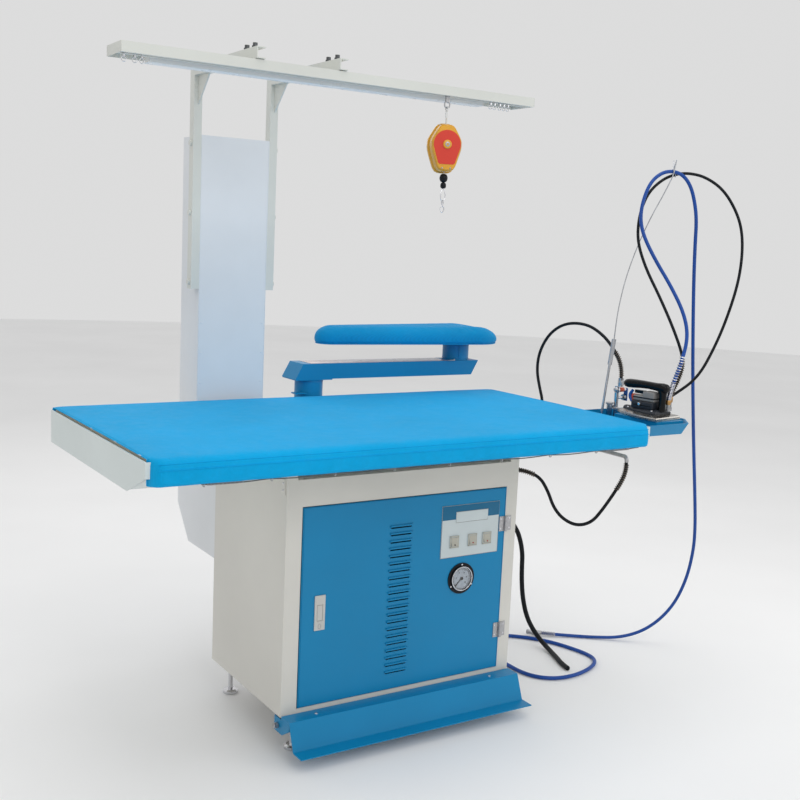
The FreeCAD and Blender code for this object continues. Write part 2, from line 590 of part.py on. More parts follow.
def vacuum_table():
    depth, height = "table_rear - table_front", "table_deck - table_low"
    body = doc.addObject("PartDesign::Body", "VacuumBox")
    section = outline(body, "BoxSection", "YZ_Plane",
                      [("0", "bevel_height"), ("bevel_depth", "0"), (depth, "0"), (depth, height),
                       ("0", height)])
    pad(body, section, "table_length")
    place(body, ("table_left", "table_front", "table_low"))
    room = extrusion("BoxRoom", "YZ_Plane",
                     [("wall", "bevel_height + 1"), ("bevel_depth + 1", "wall"), (depth + " - wall", "wall"),
                      (depth + " - wall", height + " + 5"), ("wall", height + " + 5")],
                     "table_length - 2 * wall", ("table_left + wall", "table_front", "table_low"))
    port = block("BoxPort", ("duct_x - duct_side / 2 + wall", "duct_y - duct_side / 2 + wall",
                             "table_low - 5"),
                 ("duct_side - 2 * wall", "duct_side - 2 * wall", "20"))
    keep("vacuum_box", carve("OpenBox", body, join("BoxVoids", [room, port])))
    deck = doc.addObject("PartDesign::Body", "Deck")
    plate = outline(deck, "DeckOutline", "XY_Plane",
                    [("0", "0"), ("table_length", "0"), ("table_length", depth), ("0", depth)])
    pad(deck, plate, "wall")
    spots = [("84 + %d * hole_pitch" % column, "90 + %d * hole_pitch" % row, "hole_r")
             for column in range(15) for row in range(7)]
    pocket(deck, circles(deck, "DeckHoles", "XY_Plane", spots), "wall", backwards=True)
    keep("perforated_plate", place(deck, ("table_left", "table_front", "table_deck")))
    sheet_foam = block("Foam", ("table_left + 1", "table_front", "table_deck + wall"),
                       ("table_length - 2", "cover_rear - 6 - table_front", "21"))
    edge_foam = block("FoamEdge", ("table_left + 22", "cover_front + 6", "table_deck + wall"),
                      ("table_length - 44", "table_front - cover_front - 6", "21"))
    keep("foam_pad", join("FoamPad", [sheet_foam, edge_foam]))
    shell = block("CoverOuter", ("table_left - 4", "table_front", "cover_skirt"),
                  ("table_length + 4", "cover_rear - table_front", "table_top - cover_skirt"))
    roll = block("CoverRoll", ("table_left + 17", "cover_front", "cover_skirt"),
                 ("table_length - 34", "table_front - cover_front", "table_top - cover_skirt"))
    cavity = block("CoverRoom", ("table_left - 10", "table_front - 1", "cover_skirt - 1"),
                   ("table_length + 20", "table_rear - table_front + 10",
                    "table_top - cover_skirt + 1 - cover_thick"))
    front = block("CoverFrontRoom", ("table_left + 20", "cover_front + cover_thick", "cover_skirt - 1"),
                  ("table_length - 40", "table_front - cover_front",
                   "table_top - cover_skirt + 1 - cover_thick"))
    keep("table_cover", carve("Cover", join("CoverSolid", [shell, roll]),
                              join("CoverVoids", [cavity, front])))
    caps = []
    drop = "cap_top - table_low + 2"
    for side in (0, 1):
        left = "table_left - 10 + %d * (table_length + 14)" % side
        profile = [("0", drop), (depth + " + 6", drop), (depth + " + 6", "0"), ("121", "0"),
                   ("0", drop + " - 37")]
        caps.append(extrusion("Cap%d" % side, "YZ_Plane", profile, "cap_thick",
                              (left, "table_front - 3", "table_low - 2")))
        caps.append(block("CapLip%d" % side, ("table_left - 10 + %d * (table_length - 5)" % side,
                                              "table_front - 6", "cap_top - 37"), ("23", "3", "37")))
        caps.append(block("CapSpacer%d" % side, ("table_left - 6 + %d * (table_length + 6)" % side, "-100",
                                                 "table_low + 4"), ("6 - 2 * %d" % side, "200", "28")))
    keep("end_caps", join("Caps", caps))


# ---------------------------------------------------------------- sleeve board

def sleeve_board():
    tube = rod("PillarTube", ("pillar_x", "pillar_y", "table_low"), "pillar_r", "swing_low - table_low - 3.5")
    core = rod("PillarCore", ("pillar_x", "pillar_y", "table_low - 1"), "pillar_r - 3",
               "swing_low - table_low - 8.5")
    bracket = block("PillarBracket", ("pillar_x - 50", "table_rear", "table_low + 2"), ("100", "40", "8"))
    lug = block("PillarLug", ("pillar_x - 70", "column_front - 30", "868"), ("40", "30", "4"))
    pin = rod("PillarPin", ("pillar_x", "pillar_y", "swing_low - 12"), "pin_r", "40")
    keep("swing_arm_pillar", join("Pillar", [carve("PillarShell", tube, core), bracket, lug, pin]))
    low = "swing_low"
    beam = extrusion("Beam", "XZ_Plane",
                     [("0", "0"), ("677", "0"), ("704", "swing_height"), ("27", "swing_height")],
                     "swing_width", ("-117", "pillar_y - swing_width / 2", low), backwards=True)
    doubler = block("BeamDoubler", ("-115", "pillar_y - swing_width / 2", low + " - 3"),
                    ("130", "swing_width", "3"))
    core = block("BeamCore", ("-80", "pillar_y - swing_width / 2 + 3", low + " + 3"),
                 ("630", "swing_width - 6", "swing_height - 6"))
    socket = rod("BeamSocket", ("pillar_x", "pillar_y", low + " - 5"),
                 "pin_r + 0.06", "15")
    seat = rod("BeamSeat", ("pillar_x + swing_span", "pillar_y", low + " + 40"), "pin_r + 0.06", "15")
    keep("swing_arm", carve("Arm", join("BeamSolid", [beam, doubler]),
                            join("BeamVoids", [core, socket, seat])))
    upper = "pillar_x + swing_span"
    post = rod("BoardPost", (upper, "pillar_y", "swing_low + swing_height + 0.5"), "pillar_r",
               "board_low - swing_low - swing_height - 3.5")
    stub = rod("BoardStub", (upper, "pillar_y", "swing_low + swing_height - 12"), "pin_r", "20")
    plate = block("BoardPlate", (upper + " - 150", "pillar_y - 40", "board_low - 3"), ("220", "80", "3"))
    keep("sleeve_board_base", join("BoardBase", [post, stub, plate]))
    body = doc.addObject("PartDesign::Body", "SleeveBoard")
    slab = pad(body, tapered_outline(body), "board_thick")
    doc.recompute()
    edges = ["Edge%d" % (index + 1) for index, edge in enumerate(slab.Shape.Edges)
             if abs(edge.BoundBox.ZMin - edge.BoundBox.ZMax) < 1e-6]
    soft = body.newObject("PartDesign::Fillet", "SoftEdges")
    soft.Base = (slab, edges)
    soft.Radius = 16
    keep("sleeve_board_pad", place(body, ("0", "pillar_y", "board_low")))


def tapered_outline(body):
    """Two arcs of different radius on one centre line, joined by their outer tangents."""
    nose, heel = Vec(size("nose_x"), 0, 0), Vec(size("heel_x"), 0, 0)
    small, large = size("nose_r"), size("heel_r")
    lean = math.asin((large - small) / (heel.x - nose.x))
    up = Vec(-math.sin(lean), math.cos(lean), 0)
    down = Vec(up.x, -up.y, 0)
    sketch = body.newObject("Sketcher::SketchObject", "BoardOutline")
    sketch.AttachmentSupport = (origin_plane(body, "XY_Plane"), "")
    sketch.MapMode = "FlatFace"
    sketch.addGeometry(Part.LineSegment(nose + up * small, heel + up * large))
    sketch.addGeometry(Part.Arc(heel + up * large, heel + Vec(large, 0, 0), heel + down * large))
    sketch.addGeometry(Part.LineSegment(heel + down * large, nose + down * small))
    sketch.addGeometry(Part.Arc(nose + down * small, nose - Vec(small, 0, 0), nose + up * small))
    # an arc runs anticlockwise in its sketch, so the heel arc starts at the lower line
    sketch.addConstraint(Sketcher.Constraint("Tangent", 0, 2, 1, 2))
    sketch.addConstraint(Sketcher.Constraint("Tangent", 1, 1, 2, 1))
    sketch.addConstraint(Sketcher.Constraint("Tangent", 2, 2, 3, 2))
    sketch.addConstraint(Sketcher.Constraint("Tangent", 3, 1, 0, 1))
    for arc, radius, spot in ((1, "heel_r", "heel_x"), (3, "nose_r", "nose_x")):
        sketch.addConstraint(Sketcher.Constraint("PointOnObject", arc, 3, -1))
        number = sketch.addConstraint(Sketcher.Constraint("DistanceX", -1, 1, arc, 3, size(spot)))
        sketch.setExpression("Constraints[%d]" % number, formula(spot))
        number = sketch.addConstraint(Sketcher.Constraint("Radius", arc, size(radius)))
        sketch.setExpression("Constraints[%d]" % number, formula(radius))
    return sketch


# ---------------------------------------------------------------- iron station

def iron_tray():
    """Pressed pan with flared walls, its front right corner cut off, and a raised iron rest."""
    def pan(name, low, high, inset):
        body = doc.addObject("PartDesign::Body", name)
        wide, deep = size("tray_right - tray_left"), size("tray_rear - tray_front")
        sections = []
        for level, step in ((low, inset + size("tray_flare")), (high, inset)):
            corners = [("%g" % inset, "%g" % step), ("%g" % (wide - 57 - step / 2), "%g" % step),
                       ("%g" % (wide - step), "%g" % (68 + step / 2)),
                       ("%g" % (wide - step), "%g" % (deep - inset)),
                       ("%g" % inset, "%g" % (deep - inset))]
            section = outline(body, "%sAt%d" % (name, level), "XY_Plane", corners)
            section.AttachmentOffset = FreeCAD.Placement(Vec(0, 0, level), FreeCAD.Rotation())
            sections.append(section)
        loft = body.newObject("PartDesign::AdditiveLoft", name + "Loft")
        loft.Profile = sections[0]
        loft.Sections = [sections[1]]
        loft.Ruled = True
        return place(body, ("tray_left", "tray_front", "tray_low"))

    outer = pan("TrayOuter", 0, size("tray_top - tray_low"), 0)
    inner = pan("TrayInner", 2, size("tray_top - tray_low + 3"), 2)
    rest = block("IronRest", ("iron_x - 60", "iron_y - 12", "tray_low"),
                 ("112", "180", "rest_top - tray_low"))
    hanger = block("TrayHanger", ("table_left + table_length + 8", "-400", "tray_low + 5"),
                   ("8", "200", "26"))
    spigot = rod("ReturnSpigot", ("842", "-290", "tray_low + 2"), "7", "20")
    keep("iron_tray", join("Tray", [carve("TrayPan", outer, inner), rest, hanger, spigot]))


def iron_at(x, y, z):
    """Place of a point of the iron's own frame: heel middle on the rest, tip along +Y."""
    turn = math.radians(DIMENSIONS["iron_turn"])
    return ("iron_x + %.4f" % (x * math.cos(turn) - y * math.sin(turn)),
            "iron_y + %.4f" % (x * math.sin(turn) + y * math.cos(turn)), "rest_top + %g" % z)


def iron():
    turn = FreeCAD.Rotation(Vec(0, 0, 1), DIMENSIONS["iron_turn"])

    def slab(name, shrink, low, height):
        """Flat-iron outline: straight heel, sides running out into two arcs that meet at the tip."""
        half, length = size("sole_width") / 2 - shrink, size("sole_length") - shrink
        heel = Vec(0, shrink, 0)
        body = doc.addObject("PartDesign::Body", name)
        sketch = body.newObject("Sketcher::SketchObject", name + "Outline")
        sketch.AttachmentSupport = (origin_plane(body, "XY_Plane"), "")
        sketch.MapMode = "FlatFace"
        right, left = Vec(half, shrink, 0), Vec(-half, shrink, 0)
        tip = Vec(0, length, 0)
        bow = Vec(half * 0.80, shrink + (length - shrink) * 0.52, 0)
        sketch.addGeometry(Part.LineSegment(left, right))
        sketch.addGeometry(Part.Arc(right, bow, tip))
        sketch.addGeometry(Part.Arc(tip, Vec(-bow.x, bow.y, 0), left))
        for first, end, second, start in ((0, 2, 1, 1), (1, 2, 2, 1), (2, 2, 0, 1)):
            sketch.addConstraint(Sketcher.Constraint("Coincident", first, end, second, start))
        sketch.addConstraint(Sketcher.Constraint("Horizontal", 0))
        body_pad = pad(body, sketch, "%g" % height)
        body_pad.Length = height
        body.Placement = FreeCAD.Placement(Vec(), turn)
        return place(body, iron_at(heel.x, 0, low))

    def bar(name, corner, sides):
        item = doc.addObject("Part::Box", name)
        item.Length, item.Width, item.Height = sides
        item.Placement = FreeCAD.Placement(Vec(), turn)
        return place(item, iron_at(*corner))

    keep("iron_sole", slab("Sole", 0, 0, DIMENSIONS["sole_thick"]))
    shroud = slab("Shroud", 12, 13, 12)
    block_body = bar("SteamBlock", (-30, 40, 25), (60, 84, 22))
    cover = bar("BlockCover", (-22, 44, 47), (44, 74, 22))
    inlet = rod("SteamInlet", iron_at(22, 20, 25), "6", "20")
    second = rod("ReturnInlet", iron_at(38, 24, 25), "5", "26")
    keep("iron_body", join("IronCasting", [shroud, block_body, cover, inlet, second]))
    rear_post = bar("RearPost", (-13, 14.5, 25), (26, 24, 66))
    grip = bar("Grip", (-17, 12, 84), (34, 148, 26))
    grip_soft = doc.addObject("Part::Fillet", "GripSoft")
    grip_soft.Base = grip
    doc.recompute()
    grip_soft.Edges = [(index + 1, 9.0, 9.0) for index in range(len(grip.Shape.Edges))]
    handle = join("HandleSolid", [rear_post, grip_soft])
    keep("iron_handle", handle)
    trigger = bar("TriggerLever", (-6, 90, 70), (12, 35, 10))
    keep("iron_trigger", trigger)


def manifold():
    x, y = "manifold_x", "manifold_y"
    stem = rod("ManifoldStem", (x, y, "tray_low + 2"), "7", "112")
    collar = rod("ManifoldCollar", (x, y, "tray_low + 2"), "12", "6")
    trap = rod("ManifoldTrap", (x + " - 20", y + " + 8", "tray_low + 10"), "9", "50")
    bridge = block("TrapBridge", (x + " - 20", y + " + 3", "tray_low + 44"), ("20", "8", "8"))
    tee = rod("ManifoldTee", (x, y + " - 1", "922"), "6", "34", "X")
    hub = ball("ManifoldHub", (x, y, "922"), "11")
    needle = rod("NeedleValve", (x, y, "897"), "4.5", "26", "X")
    knob = rod("NeedleKnob", (x + " + 26", y, "897"), "9", "8", "X")
    socket = rod("LoopSocket", (x + " + 3", y + " - 12", "934"), "9", "27")
    keep("steam_manifold", join("Manifold", [stem, collar, trap, bridge, tee, hub, needle, knob, socket]))
    axle = rod("LeverAxle", (x + " + 34.5", y + " - 1", "922"), "5", "6", "X")
    lever = block("LeverBlade", (x + " + 36", y + " - 8", "886"), ("4", "14", "40"))
    keep("valve_handle", join("Lever", [axle, lever]))


def steam_pipe():
    """Steel pipe under the table from the feed hose to the loop hose."""
    path = [(612, -408, 742), (612, -408, 758), (612, 94, 758), (703, 94, 758), (703, 94, 800)]
    keep("steam_pipe", swept("SteamPipeTube", path, 12, tightest=12))


# ---------------------------------------------------------------- swept tubes and hoses

def swept(name, route, diameter, tightest=0.0):
    """Tube along straight runs joined by tangent arcs, each as large as its two runs allow."""
    points = [Vec(*point) for point in route]
    edges, here, radii, length = [], points[0], [], 0.0
    for before, corner, after in zip(points, points[1:], points[2:]):
        first, second = (corner - before), (after - corner)
        turn = first.getAngle(second)
        shorter = min(first.Length, second.Length)
        radius = tightest or 0.45 * shorter / math.tan(turn / 2)
        setback = radius * math.tan(turn / 2)
        first.normalize()
        second.normalize()
        start, end = corner - first * setback, corner + second * setback
        bisector = (second - first).normalize()
        centre = corner + bisector * (radius / math.cos(turn / 2))
        middle = centre - bisector * radius
        edges.append(Part.LineSegment(here, start).toShape())
        edges.append(Part.Arc(start, middle, end).toShape())
        length += (start - here).Length + radius * turn
        here = end
        radii.append(radius)
    edges.append(Part.LineSegment(here, points[-1]).toShape())
    length += (points[-1] - here).Length
    heading = points[1] - points[0]
    circle = Part.Circle(points[0], heading, diameter / 2).toShape()
    solid = Part.Wire(edges).makePipeShell([Part.Wire([circle])], True, False)
    tube = doc.addObject("Part::Feature", name)
    tube.Shape = solid
    section = math.pi * diameter ** 2 / 4
    print("%-16s length %7.1f  volume ratio %.4f  radii %s" % (
        name, length, solid.Volume / (section * length),
        " ".join("%.0f" % radius for radius in radii)))
    return tube


STEAM_HOSE = [
    (793.6, -381.8, 902), (793.6, -381.8, 926), (800, -388, 965), (822, -396, 1033), (843, -394, 1110),
    (838, -374, 1180), (813, -335, 1260), (780, -296, 1334), (755, -261, 1409), (750, -248, 1463),
    (763, -244, 1519), (784, -248, 1570), (814, -261, 1599), (846, -276, 1606), (877, -290, 1595),
    (901, -300, 1565), (918, -305, 1521), (933, -306, 1464), (943, -299, 1386), (958, -292, 1276),
    (984, -281, 1130), (1012, -270, 985), (1043, -258, 845), (1077, -246, 700), (1112, -233, 565),
    (1144, -219, 440), (1160, -205, 350), (1164, -180, 240), (1143, -146, 135), (1089, -96, 52),
    (1019, -40, 12), (940, 18, 6.2), (866, 72, 6.6), (815, 105, 9.2), (775, 130, 12)]

RETURN_HOSE = [
    (808.8, -375.4, 908), (808.8, -375.4, 934), (830, -386, 985), (842, -386, 1040), (818, -356, 1131),
    (796, -308, 1227), (770, -273, 1302), (756, -246, 1372), (756, -235, 1424), (768, -230, 1484),
    (793, -234, 1541), (828, -251, 1579), (861, -269, 1597), (896, -291, 1603), (938, -321, 1594),
    (983, -356, 1559), (1016, -383, 1499), (1033, -400, 1439), (1036, -408, 1363),
    (1027, -409, 1276), (1003, -400, 1173), (973, -387, 1078), (931, -366, 978), (874, -326, 921),
    (852, -302, 900), (842, -290, 872), (842, -290, 842)]

LOOP_HOSE = [
    (703, 94, 800.4), (703, 94, 845), (698, 110, 892), (694, 126, 950), (697, 121, 1014),
    (705, 84, 1078), (720, 24, 1117), (739, -58, 1120), (754, -118, 1091), (764, -160, 1052),
    (771, -197, 1002), (771, -197, 961.4)]

FEED_HOSE = [
    (337.4, -186, 694), (368, -186, 694), (402, -204, 690), (434, -232, 675), (453, -251, 634),
    (466, -264, 588), (487, -285, 554), (518, -315, 536), (549, -345, 550), (569, -365, 590),
    (590, -386, 642), (605, -401, 684), (612, -408, 716), (612, -408, 741.6)]

DRAIN_HOSE = [
    (250, 206.4, 500), (250, 288, 500), (305, 362, 498), (395, 386, 495), (487, 354, 490),
    (566, 294, 478), (630, 224, 456), (671, 158, 408), (687, 131, 326), (684, 126, 240), (686, 116, 160),
    (698, 99, 86), (714, 60, 34), (713, -4, 9.6), (690, -74, 8.4), (668, -126, 8.2), (660, -166, 8.2)]

WATER_HOSE = [
    (180, 206.4, 150), (180, 252, 150), (209, 293, 136), (262, 310, 98), (334, 309, 46), (424, 287, 12),
    (520, 253, 6.4), (606, 209, 6.2), (680, 160, 6.2), (738, 102, 6.2), (774, 40, 6.2),
    (795, -26, 6.2), (807, -84, 6.2), (805, -128, 6.2), (782, -164, 6.2), (729, -195, 6.2),
    (664, -214, 6.2), (600, -216, 6.2), (552, -199, 6.2), (517, -160, 6.2), (503, -108, 6.2),
    (504, -46, 6.2), (500, 14, 6.2), (478, 74, 6.4), (440, 128, 8), (406, 168, 10)]


def hoses():
    for node, route, diameter in (("steam_hose", STEAM_HOSE, "steam_dia"),
                                  ("return_hose", RETURN_HOSE, "return_dia"),
                                  ("loop_hose", LOOP_HOSE, "loop_dia"),
                                  ("feed_hose", FEED_HOSE, "feed_dia"),
                                  ("drain_hose", DRAIN_HOSE, "drain_dia"),
                                  ("water_hose", WATER_HOSE, "water_dia")):
        keep(node, swept(node.title().replace("_", ""), route, size(diameter)))


def hose_end(name, route, radius, length):
    """Round fitting that carries on from the end of a route."""
    last, before = Vec(*route[-1]), Vec(*route[-2])
    heading = (last - before).normalize()
    item = doc.addObject("Part::Feature", name)
    item.Shape = Part.makeCylinder(radius, length, last, heading)
    return item


def hose_fittings():
    """Loose connectors of the steam hose and the water hose."""
    nut = hose_end("SteamHoseNut", STEAM_HOSE, 10, 38)
    tap = hose_end("WaterHoseTap", WATER_HOSE, 10, 34)
    keep("hose_connectors", group("Connectors", [nut, tap]))


def hose_support():
    x, y = "support_x", "support_y"
    foot = rod("SupportFoot", (x, y, "tray_low + 2"), "11", "8")
    base = Vec(size(x), size(y), size("tray_low + 9"))
    low, high = Vec(720, -194.4, 1004), Vec(727, -198.6, 1084)
    tubes = []
    for name, start, end, radius in (("SupportRod", base, low, 4), ("SupportSleeve", low, high, 7)):
        tube = doc.addObject("Part::Feature", name)
        tube.Shape = Part.makeCylinder(radius, (end - start).Length + 1, start, end - start)
        tubes.append(tube)
    first, second = Vec(841, -292, 1637), Vec(858, -264, 1637)
    whip = swept("SupportWhip", [(727, -198.6, 1082), (731, -201, 1170), (744, -210, 1270), (768, -225, 1370),
                                 (798, -246, 1465), (824, -270, 1540), (836, -290, 1595), tuple(first)], 3.4)
    pieces = [foot, whip] + tubes
    for name, peak in (("First", first), ("Second", second)):
        pieces.append(ball("HookPeak" + name, ("%g" % peak.x, "%g" % peak.y, "%g" % peak.z), "2.2"))
    for name, spot, heading, eye_radius, peaks in (
            ("Steam", Vec(846, -276, 1604.2), Vec(32, -15, -2), 7.9, (first, second)),
            ("Return", Vec(861.2, -269.5, 1595.6), Vec(34, -20, 12), 7.0, (second,))):
        eye = doc.addObject("Part::Torus", "SupportRing" + name)
        eye.Radius1, eye.Radius2 = eye_radius, 1.4
        eye.Placement = FreeCAD.Placement(spot, FreeCAD.Rotation(Vec(0, 0, 1), heading))
        pieces.append(eye)
        heading.normalize()
        for index, peak in enumerate(peaks):
            # the wire runs from a peak to the nearest point of the eye
            across = (peak - spot) - heading * (peak - spot).dot(heading)
            run = spot + across.normalize() * eye_radius - peak
            arm = doc.addObject("Part::Feature", "SupportArm%s%d" % (name, index))
            arm.Shape = Part.makeCylinder(1.5, run.Length, peak, run)
            pieces.append(arm)
    keep("hose_support_rod", join("Support", pieces))


for build in (cabinet, levelling_feet, door, door_hinges, latch, controls, gauge, foot_pedal,
              suction_duct, blower, steam_generator, exhaust, overhead_frame, overhead_rail, balancer,
              vacuum_table, sleeve_board, iron_tray, iron, manifold, steam_pipe, hoses, hose_fittings,
              hose_support):
    build()
doc.recompute()

faults = [item.Label for item in doc.Objects if "Invalid" in item.State or "Error" in item.State]
faults += [node for node, item in parts.items() if item.Shape.isNull() or not item.Shape.isValid()]
if faults:
    raise SystemExit("failed objects: " + ", ".join(sorted(set(faults))))
for node, item in parts.items():
    item.Shape.exportStep("parts/%s.step" % node)
box = FreeCAD.BoundBox()
for item in parts.values():
    box.add(item.Shape.BoundBox)
print(len(parts), "nodes,", box)
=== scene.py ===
"""Vacuum ironing table with steam generator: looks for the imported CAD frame.

Positions are in millimetres in the frame of the CAD model and become metres where they meet Blender.
"""
import json
from math import asin, copysign, cos, exp, pi, radians, sin

import bmesh
import bpy
from mathutils import Matrix, Vector, noise


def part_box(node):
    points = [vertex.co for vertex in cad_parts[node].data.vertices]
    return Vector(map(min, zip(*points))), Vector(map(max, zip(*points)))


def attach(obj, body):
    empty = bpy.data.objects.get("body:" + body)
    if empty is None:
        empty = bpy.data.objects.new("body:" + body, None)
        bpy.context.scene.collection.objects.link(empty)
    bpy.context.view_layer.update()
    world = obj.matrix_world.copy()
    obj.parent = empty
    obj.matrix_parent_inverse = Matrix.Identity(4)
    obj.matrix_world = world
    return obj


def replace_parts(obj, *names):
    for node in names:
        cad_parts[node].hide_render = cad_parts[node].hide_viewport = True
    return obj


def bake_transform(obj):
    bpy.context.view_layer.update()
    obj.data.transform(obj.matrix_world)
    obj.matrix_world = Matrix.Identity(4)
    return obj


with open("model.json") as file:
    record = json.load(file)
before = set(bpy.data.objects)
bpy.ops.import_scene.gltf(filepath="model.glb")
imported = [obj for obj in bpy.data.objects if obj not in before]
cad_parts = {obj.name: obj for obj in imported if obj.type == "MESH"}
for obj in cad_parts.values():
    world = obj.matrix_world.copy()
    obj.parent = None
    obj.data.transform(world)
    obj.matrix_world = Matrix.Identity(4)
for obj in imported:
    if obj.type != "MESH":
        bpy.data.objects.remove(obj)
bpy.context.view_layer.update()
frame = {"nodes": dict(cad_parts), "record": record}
NODES = frame["nodes"]
SCENE = bpy.context.scene
MM = 0.001
UP = (0, 0, 1)
WAVE_BAND = 0.314159  # width of one band of a wave texture of scale 1
TABLE_LEFT, TABLE_RIGHT = -865.4, 635.4
BOARD_Y, BOARD_UNDERSIDE = 362, 1023.2
SWELL_FRAMES, SWELL_LIMIT = 20, 0.004


# ---------------------------------------------------------------- materials

def srgb(red, green, blue):
    """Linear colour from the eye's 0-255 one."""
    return tuple((value / 255 / 12.92) if value <= 10 else ((value / 255 + 0.055) / 1.055) ** 2.4
                 for value in (red, green, blue)) + (1.0,)


def scaled(colour, factor):
    return tuple(min(1.0, value * factor) for value in colour[:3]) + (1.0,)


class Graph:
    """Small helper round a material's node tree."""

    def __init__(self, name):
        self.material = bpy.data.materials.new(name)
        self.material.use_nodes = True
        self.nodes = self.material.node_tree.nodes
        self.links = self.material.node_tree.links
        self.shader = self.nodes["Principled BSDF"]
        self.place = self.nodes.new("ShaderNodeTexCoord").outputs["Object"]

    def set(self, **values):
        for name, value in values.items():
            self.shader.inputs[name.replace("_", " ")].default_value = value

    def link(self, output, target):
        self.links.new(output, self.shader.inputs[target] if isinstance(target, str) else target)

    def make(self, kind, **values):
        """New node with some of its inputs set."""
        node = self.nodes.new("ShaderNode" + kind)
        for name, value in values.items():
            node.inputs[name.replace("_", " ")].default_value = value
        return node

    def stretched(self, scale):
        mapping = self.make("Mapping", Scale=scale)
        self.links.new(self.place, mapping.inputs["Vector"])
        return mapping.outputs["Vector"]

    def noise(self, scale, detail=3.0, rough=0.55, stretch=(1, 1, 1)):
        node = self.make("TexNoise", Scale=scale, Detail=detail, Roughness=rough)
        self.links.new(self.stretched(stretch), node.inputs["Vector"])
        return node.outputs["Fac"]

    def wave(self, pitch, direction):
        """Bands of that pitch in metres along X, Y or Z."""
        node = self.make("TexWave", Scale=WAVE_BAND / pitch, Distortion=0.35, Detail_Scale=3.0)
        node.bands_direction = direction
        self.links.new(self.place, node.inputs["Vector"])
        return node.outputs["Fac"]

    def math(self, operation, first, second):
        node = self.make("Math")
        node.operation = operation
        for socket, value in zip(node.inputs, (first, second)):
            if isinstance(value, (int, float)):
                socket.default_value = value
            else:
                self.links.new(value, socket)
        return node.outputs[0]

    def between(self, factor, low, high, first, second):
        """Colour ramp from one colour at low to another at high."""
        node = self.make("ValToRGB")
        ends = node.color_ramp.elements
        ends[0].position, ends[1].position = low, high
        ends[0].color, ends[1].color = first, second
        self.links.new(factor, node.inputs["Fac"])
        return node.outputs["Color"]

    def drift(self, factor, colour, change):
        """Base colour that wanders by a share to each side."""
        self.link(self.between(factor, 0.3, 0.7, scaled(colour, 1 - change), scaled(colour, 1 + change)),
                  "Base Color")

    def spread(self, factor, low, high):
        """Noise turned into a number between two values."""
        node = self.make("MapRange", From_Min=0.3, From_Max=0.7, To_Min=low, To_Max=high)
        self.links.new(factor, node.inputs["Value"])
        return node.outputs["Result"]

    def bump(self, height, depth, strength=1.0):
        node = self.make("Bump", Distance=depth, Strength=strength)
        self.links.new(height, node.inputs["Height"])
        self.link(node.outputs["Normal"], "Normal")


def painted(name, colour, rough=0.38, coat=0.25, patch=2.2, change=0.06, peel=0.00006):
    """Sprayed sheet metal: slow colour drift, orange peel and rubbed patches."""
    graph = Graph(name)
    graph.set(Metallic=0.0, Coat_Weight=coat, Coat_Roughness=0.22, Specular_IOR_Level=0.28)
    graph.drift(graph.noise(patch, 4), colour, change)
    graph.link(graph.spread(graph.noise(9, 6), rough - 0.06, rough + 0.08), "Roughness")
    graph.bump(graph.noise(420, 2), peel)
    return graph.material


def metal(name, colour, rough=0.3, streak=(1, 1, 1), scale=160, depth=0.00003, change=0.12):
    """Bare metal with rolling or brushing marks along the axis that the streak squeezes least."""
    graph = Graph(name)
    graph.set(Metallic=1.0)
    marks = graph.noise(scale, 5, 0.6, streak)
    graph.drift(marks, colour, change)
    graph.link(graph.spread(graph.noise(14, 5), rough - 0.08, rough + 0.12), "Roughness")
    graph.bump(marks, depth)
    return graph.material


def moulded(name, colour, rough=0.45, grain=900, depth=0.00005, change=0.06, coat=0.0, shine=0.35):
    """Moulded plastic or rubber with a fine grain and faint handling marks."""
    graph = Graph(name)
    graph.set(Metallic=0.0, Coat_Weight=coat, Specular_IOR_Level=shine)
    graph.drift(graph.noise(7, 5), colour, change)
    graph.link(graph.spread(graph.noise(26, 5), rough - 0.07, rough + 0.1), "Roughness")
    graph.bump(graph.noise(grain, 2), depth)
    return graph.material


def woven(name, colour, pitch=0.0022, depth=0.00025, change=0.09, along=("X", "Y")):
    """Plain weave: two crossed threads, with slow fading and a soft sheen."""
    graph = Graph(name)
    graph.set(Metallic=0.0, Sheen_Weight=0.06, Sheen_Roughness=0.4, Specular_IOR_Level=0.14)
    weave = graph.math("MULTIPLY", graph.wave(pitch, along[0]), graph.wave(pitch, along[1]))
    fade = graph.math("ADD", graph.math("MULTIPLY", graph.noise(3.0, 6, 0.6), 0.72),
                      graph.math("MULTIPLY", graph.noise(150, 3), 0.28))
    body = graph.between(fade, 0.32, 0.68, scaled(colour, 1 - change), scaled(colour, 1 + change))
    thread = graph.make("Mix")
    thread.data_type, thread.blend_type = "RGBA", "MULTIPLY"
    thread.inputs["Factor"].default_value = 0.16
    graph.links.new(body, thread.inputs[6])
    graph.links.new(weave, thread.inputs[7])
    graph.link(thread.outputs[2], "Base Color")
    graph.link(graph.spread(graph.noise(40, 4), 0.66, 0.86), "Roughness")
    graph.bump(graph.math("ADD", weave, graph.noise(28, 4)), depth)
    return graph.material


def clear(name, colour, rough=0.03):
    graph = Graph(name)
    graph.set(Transmission_Weight=1.0, IOR=1.45, Base_Color=colour)
    graph.link(graph.spread(graph.noise(60, 4), rough, rough + 0.05), "Roughness")
    return graph.material


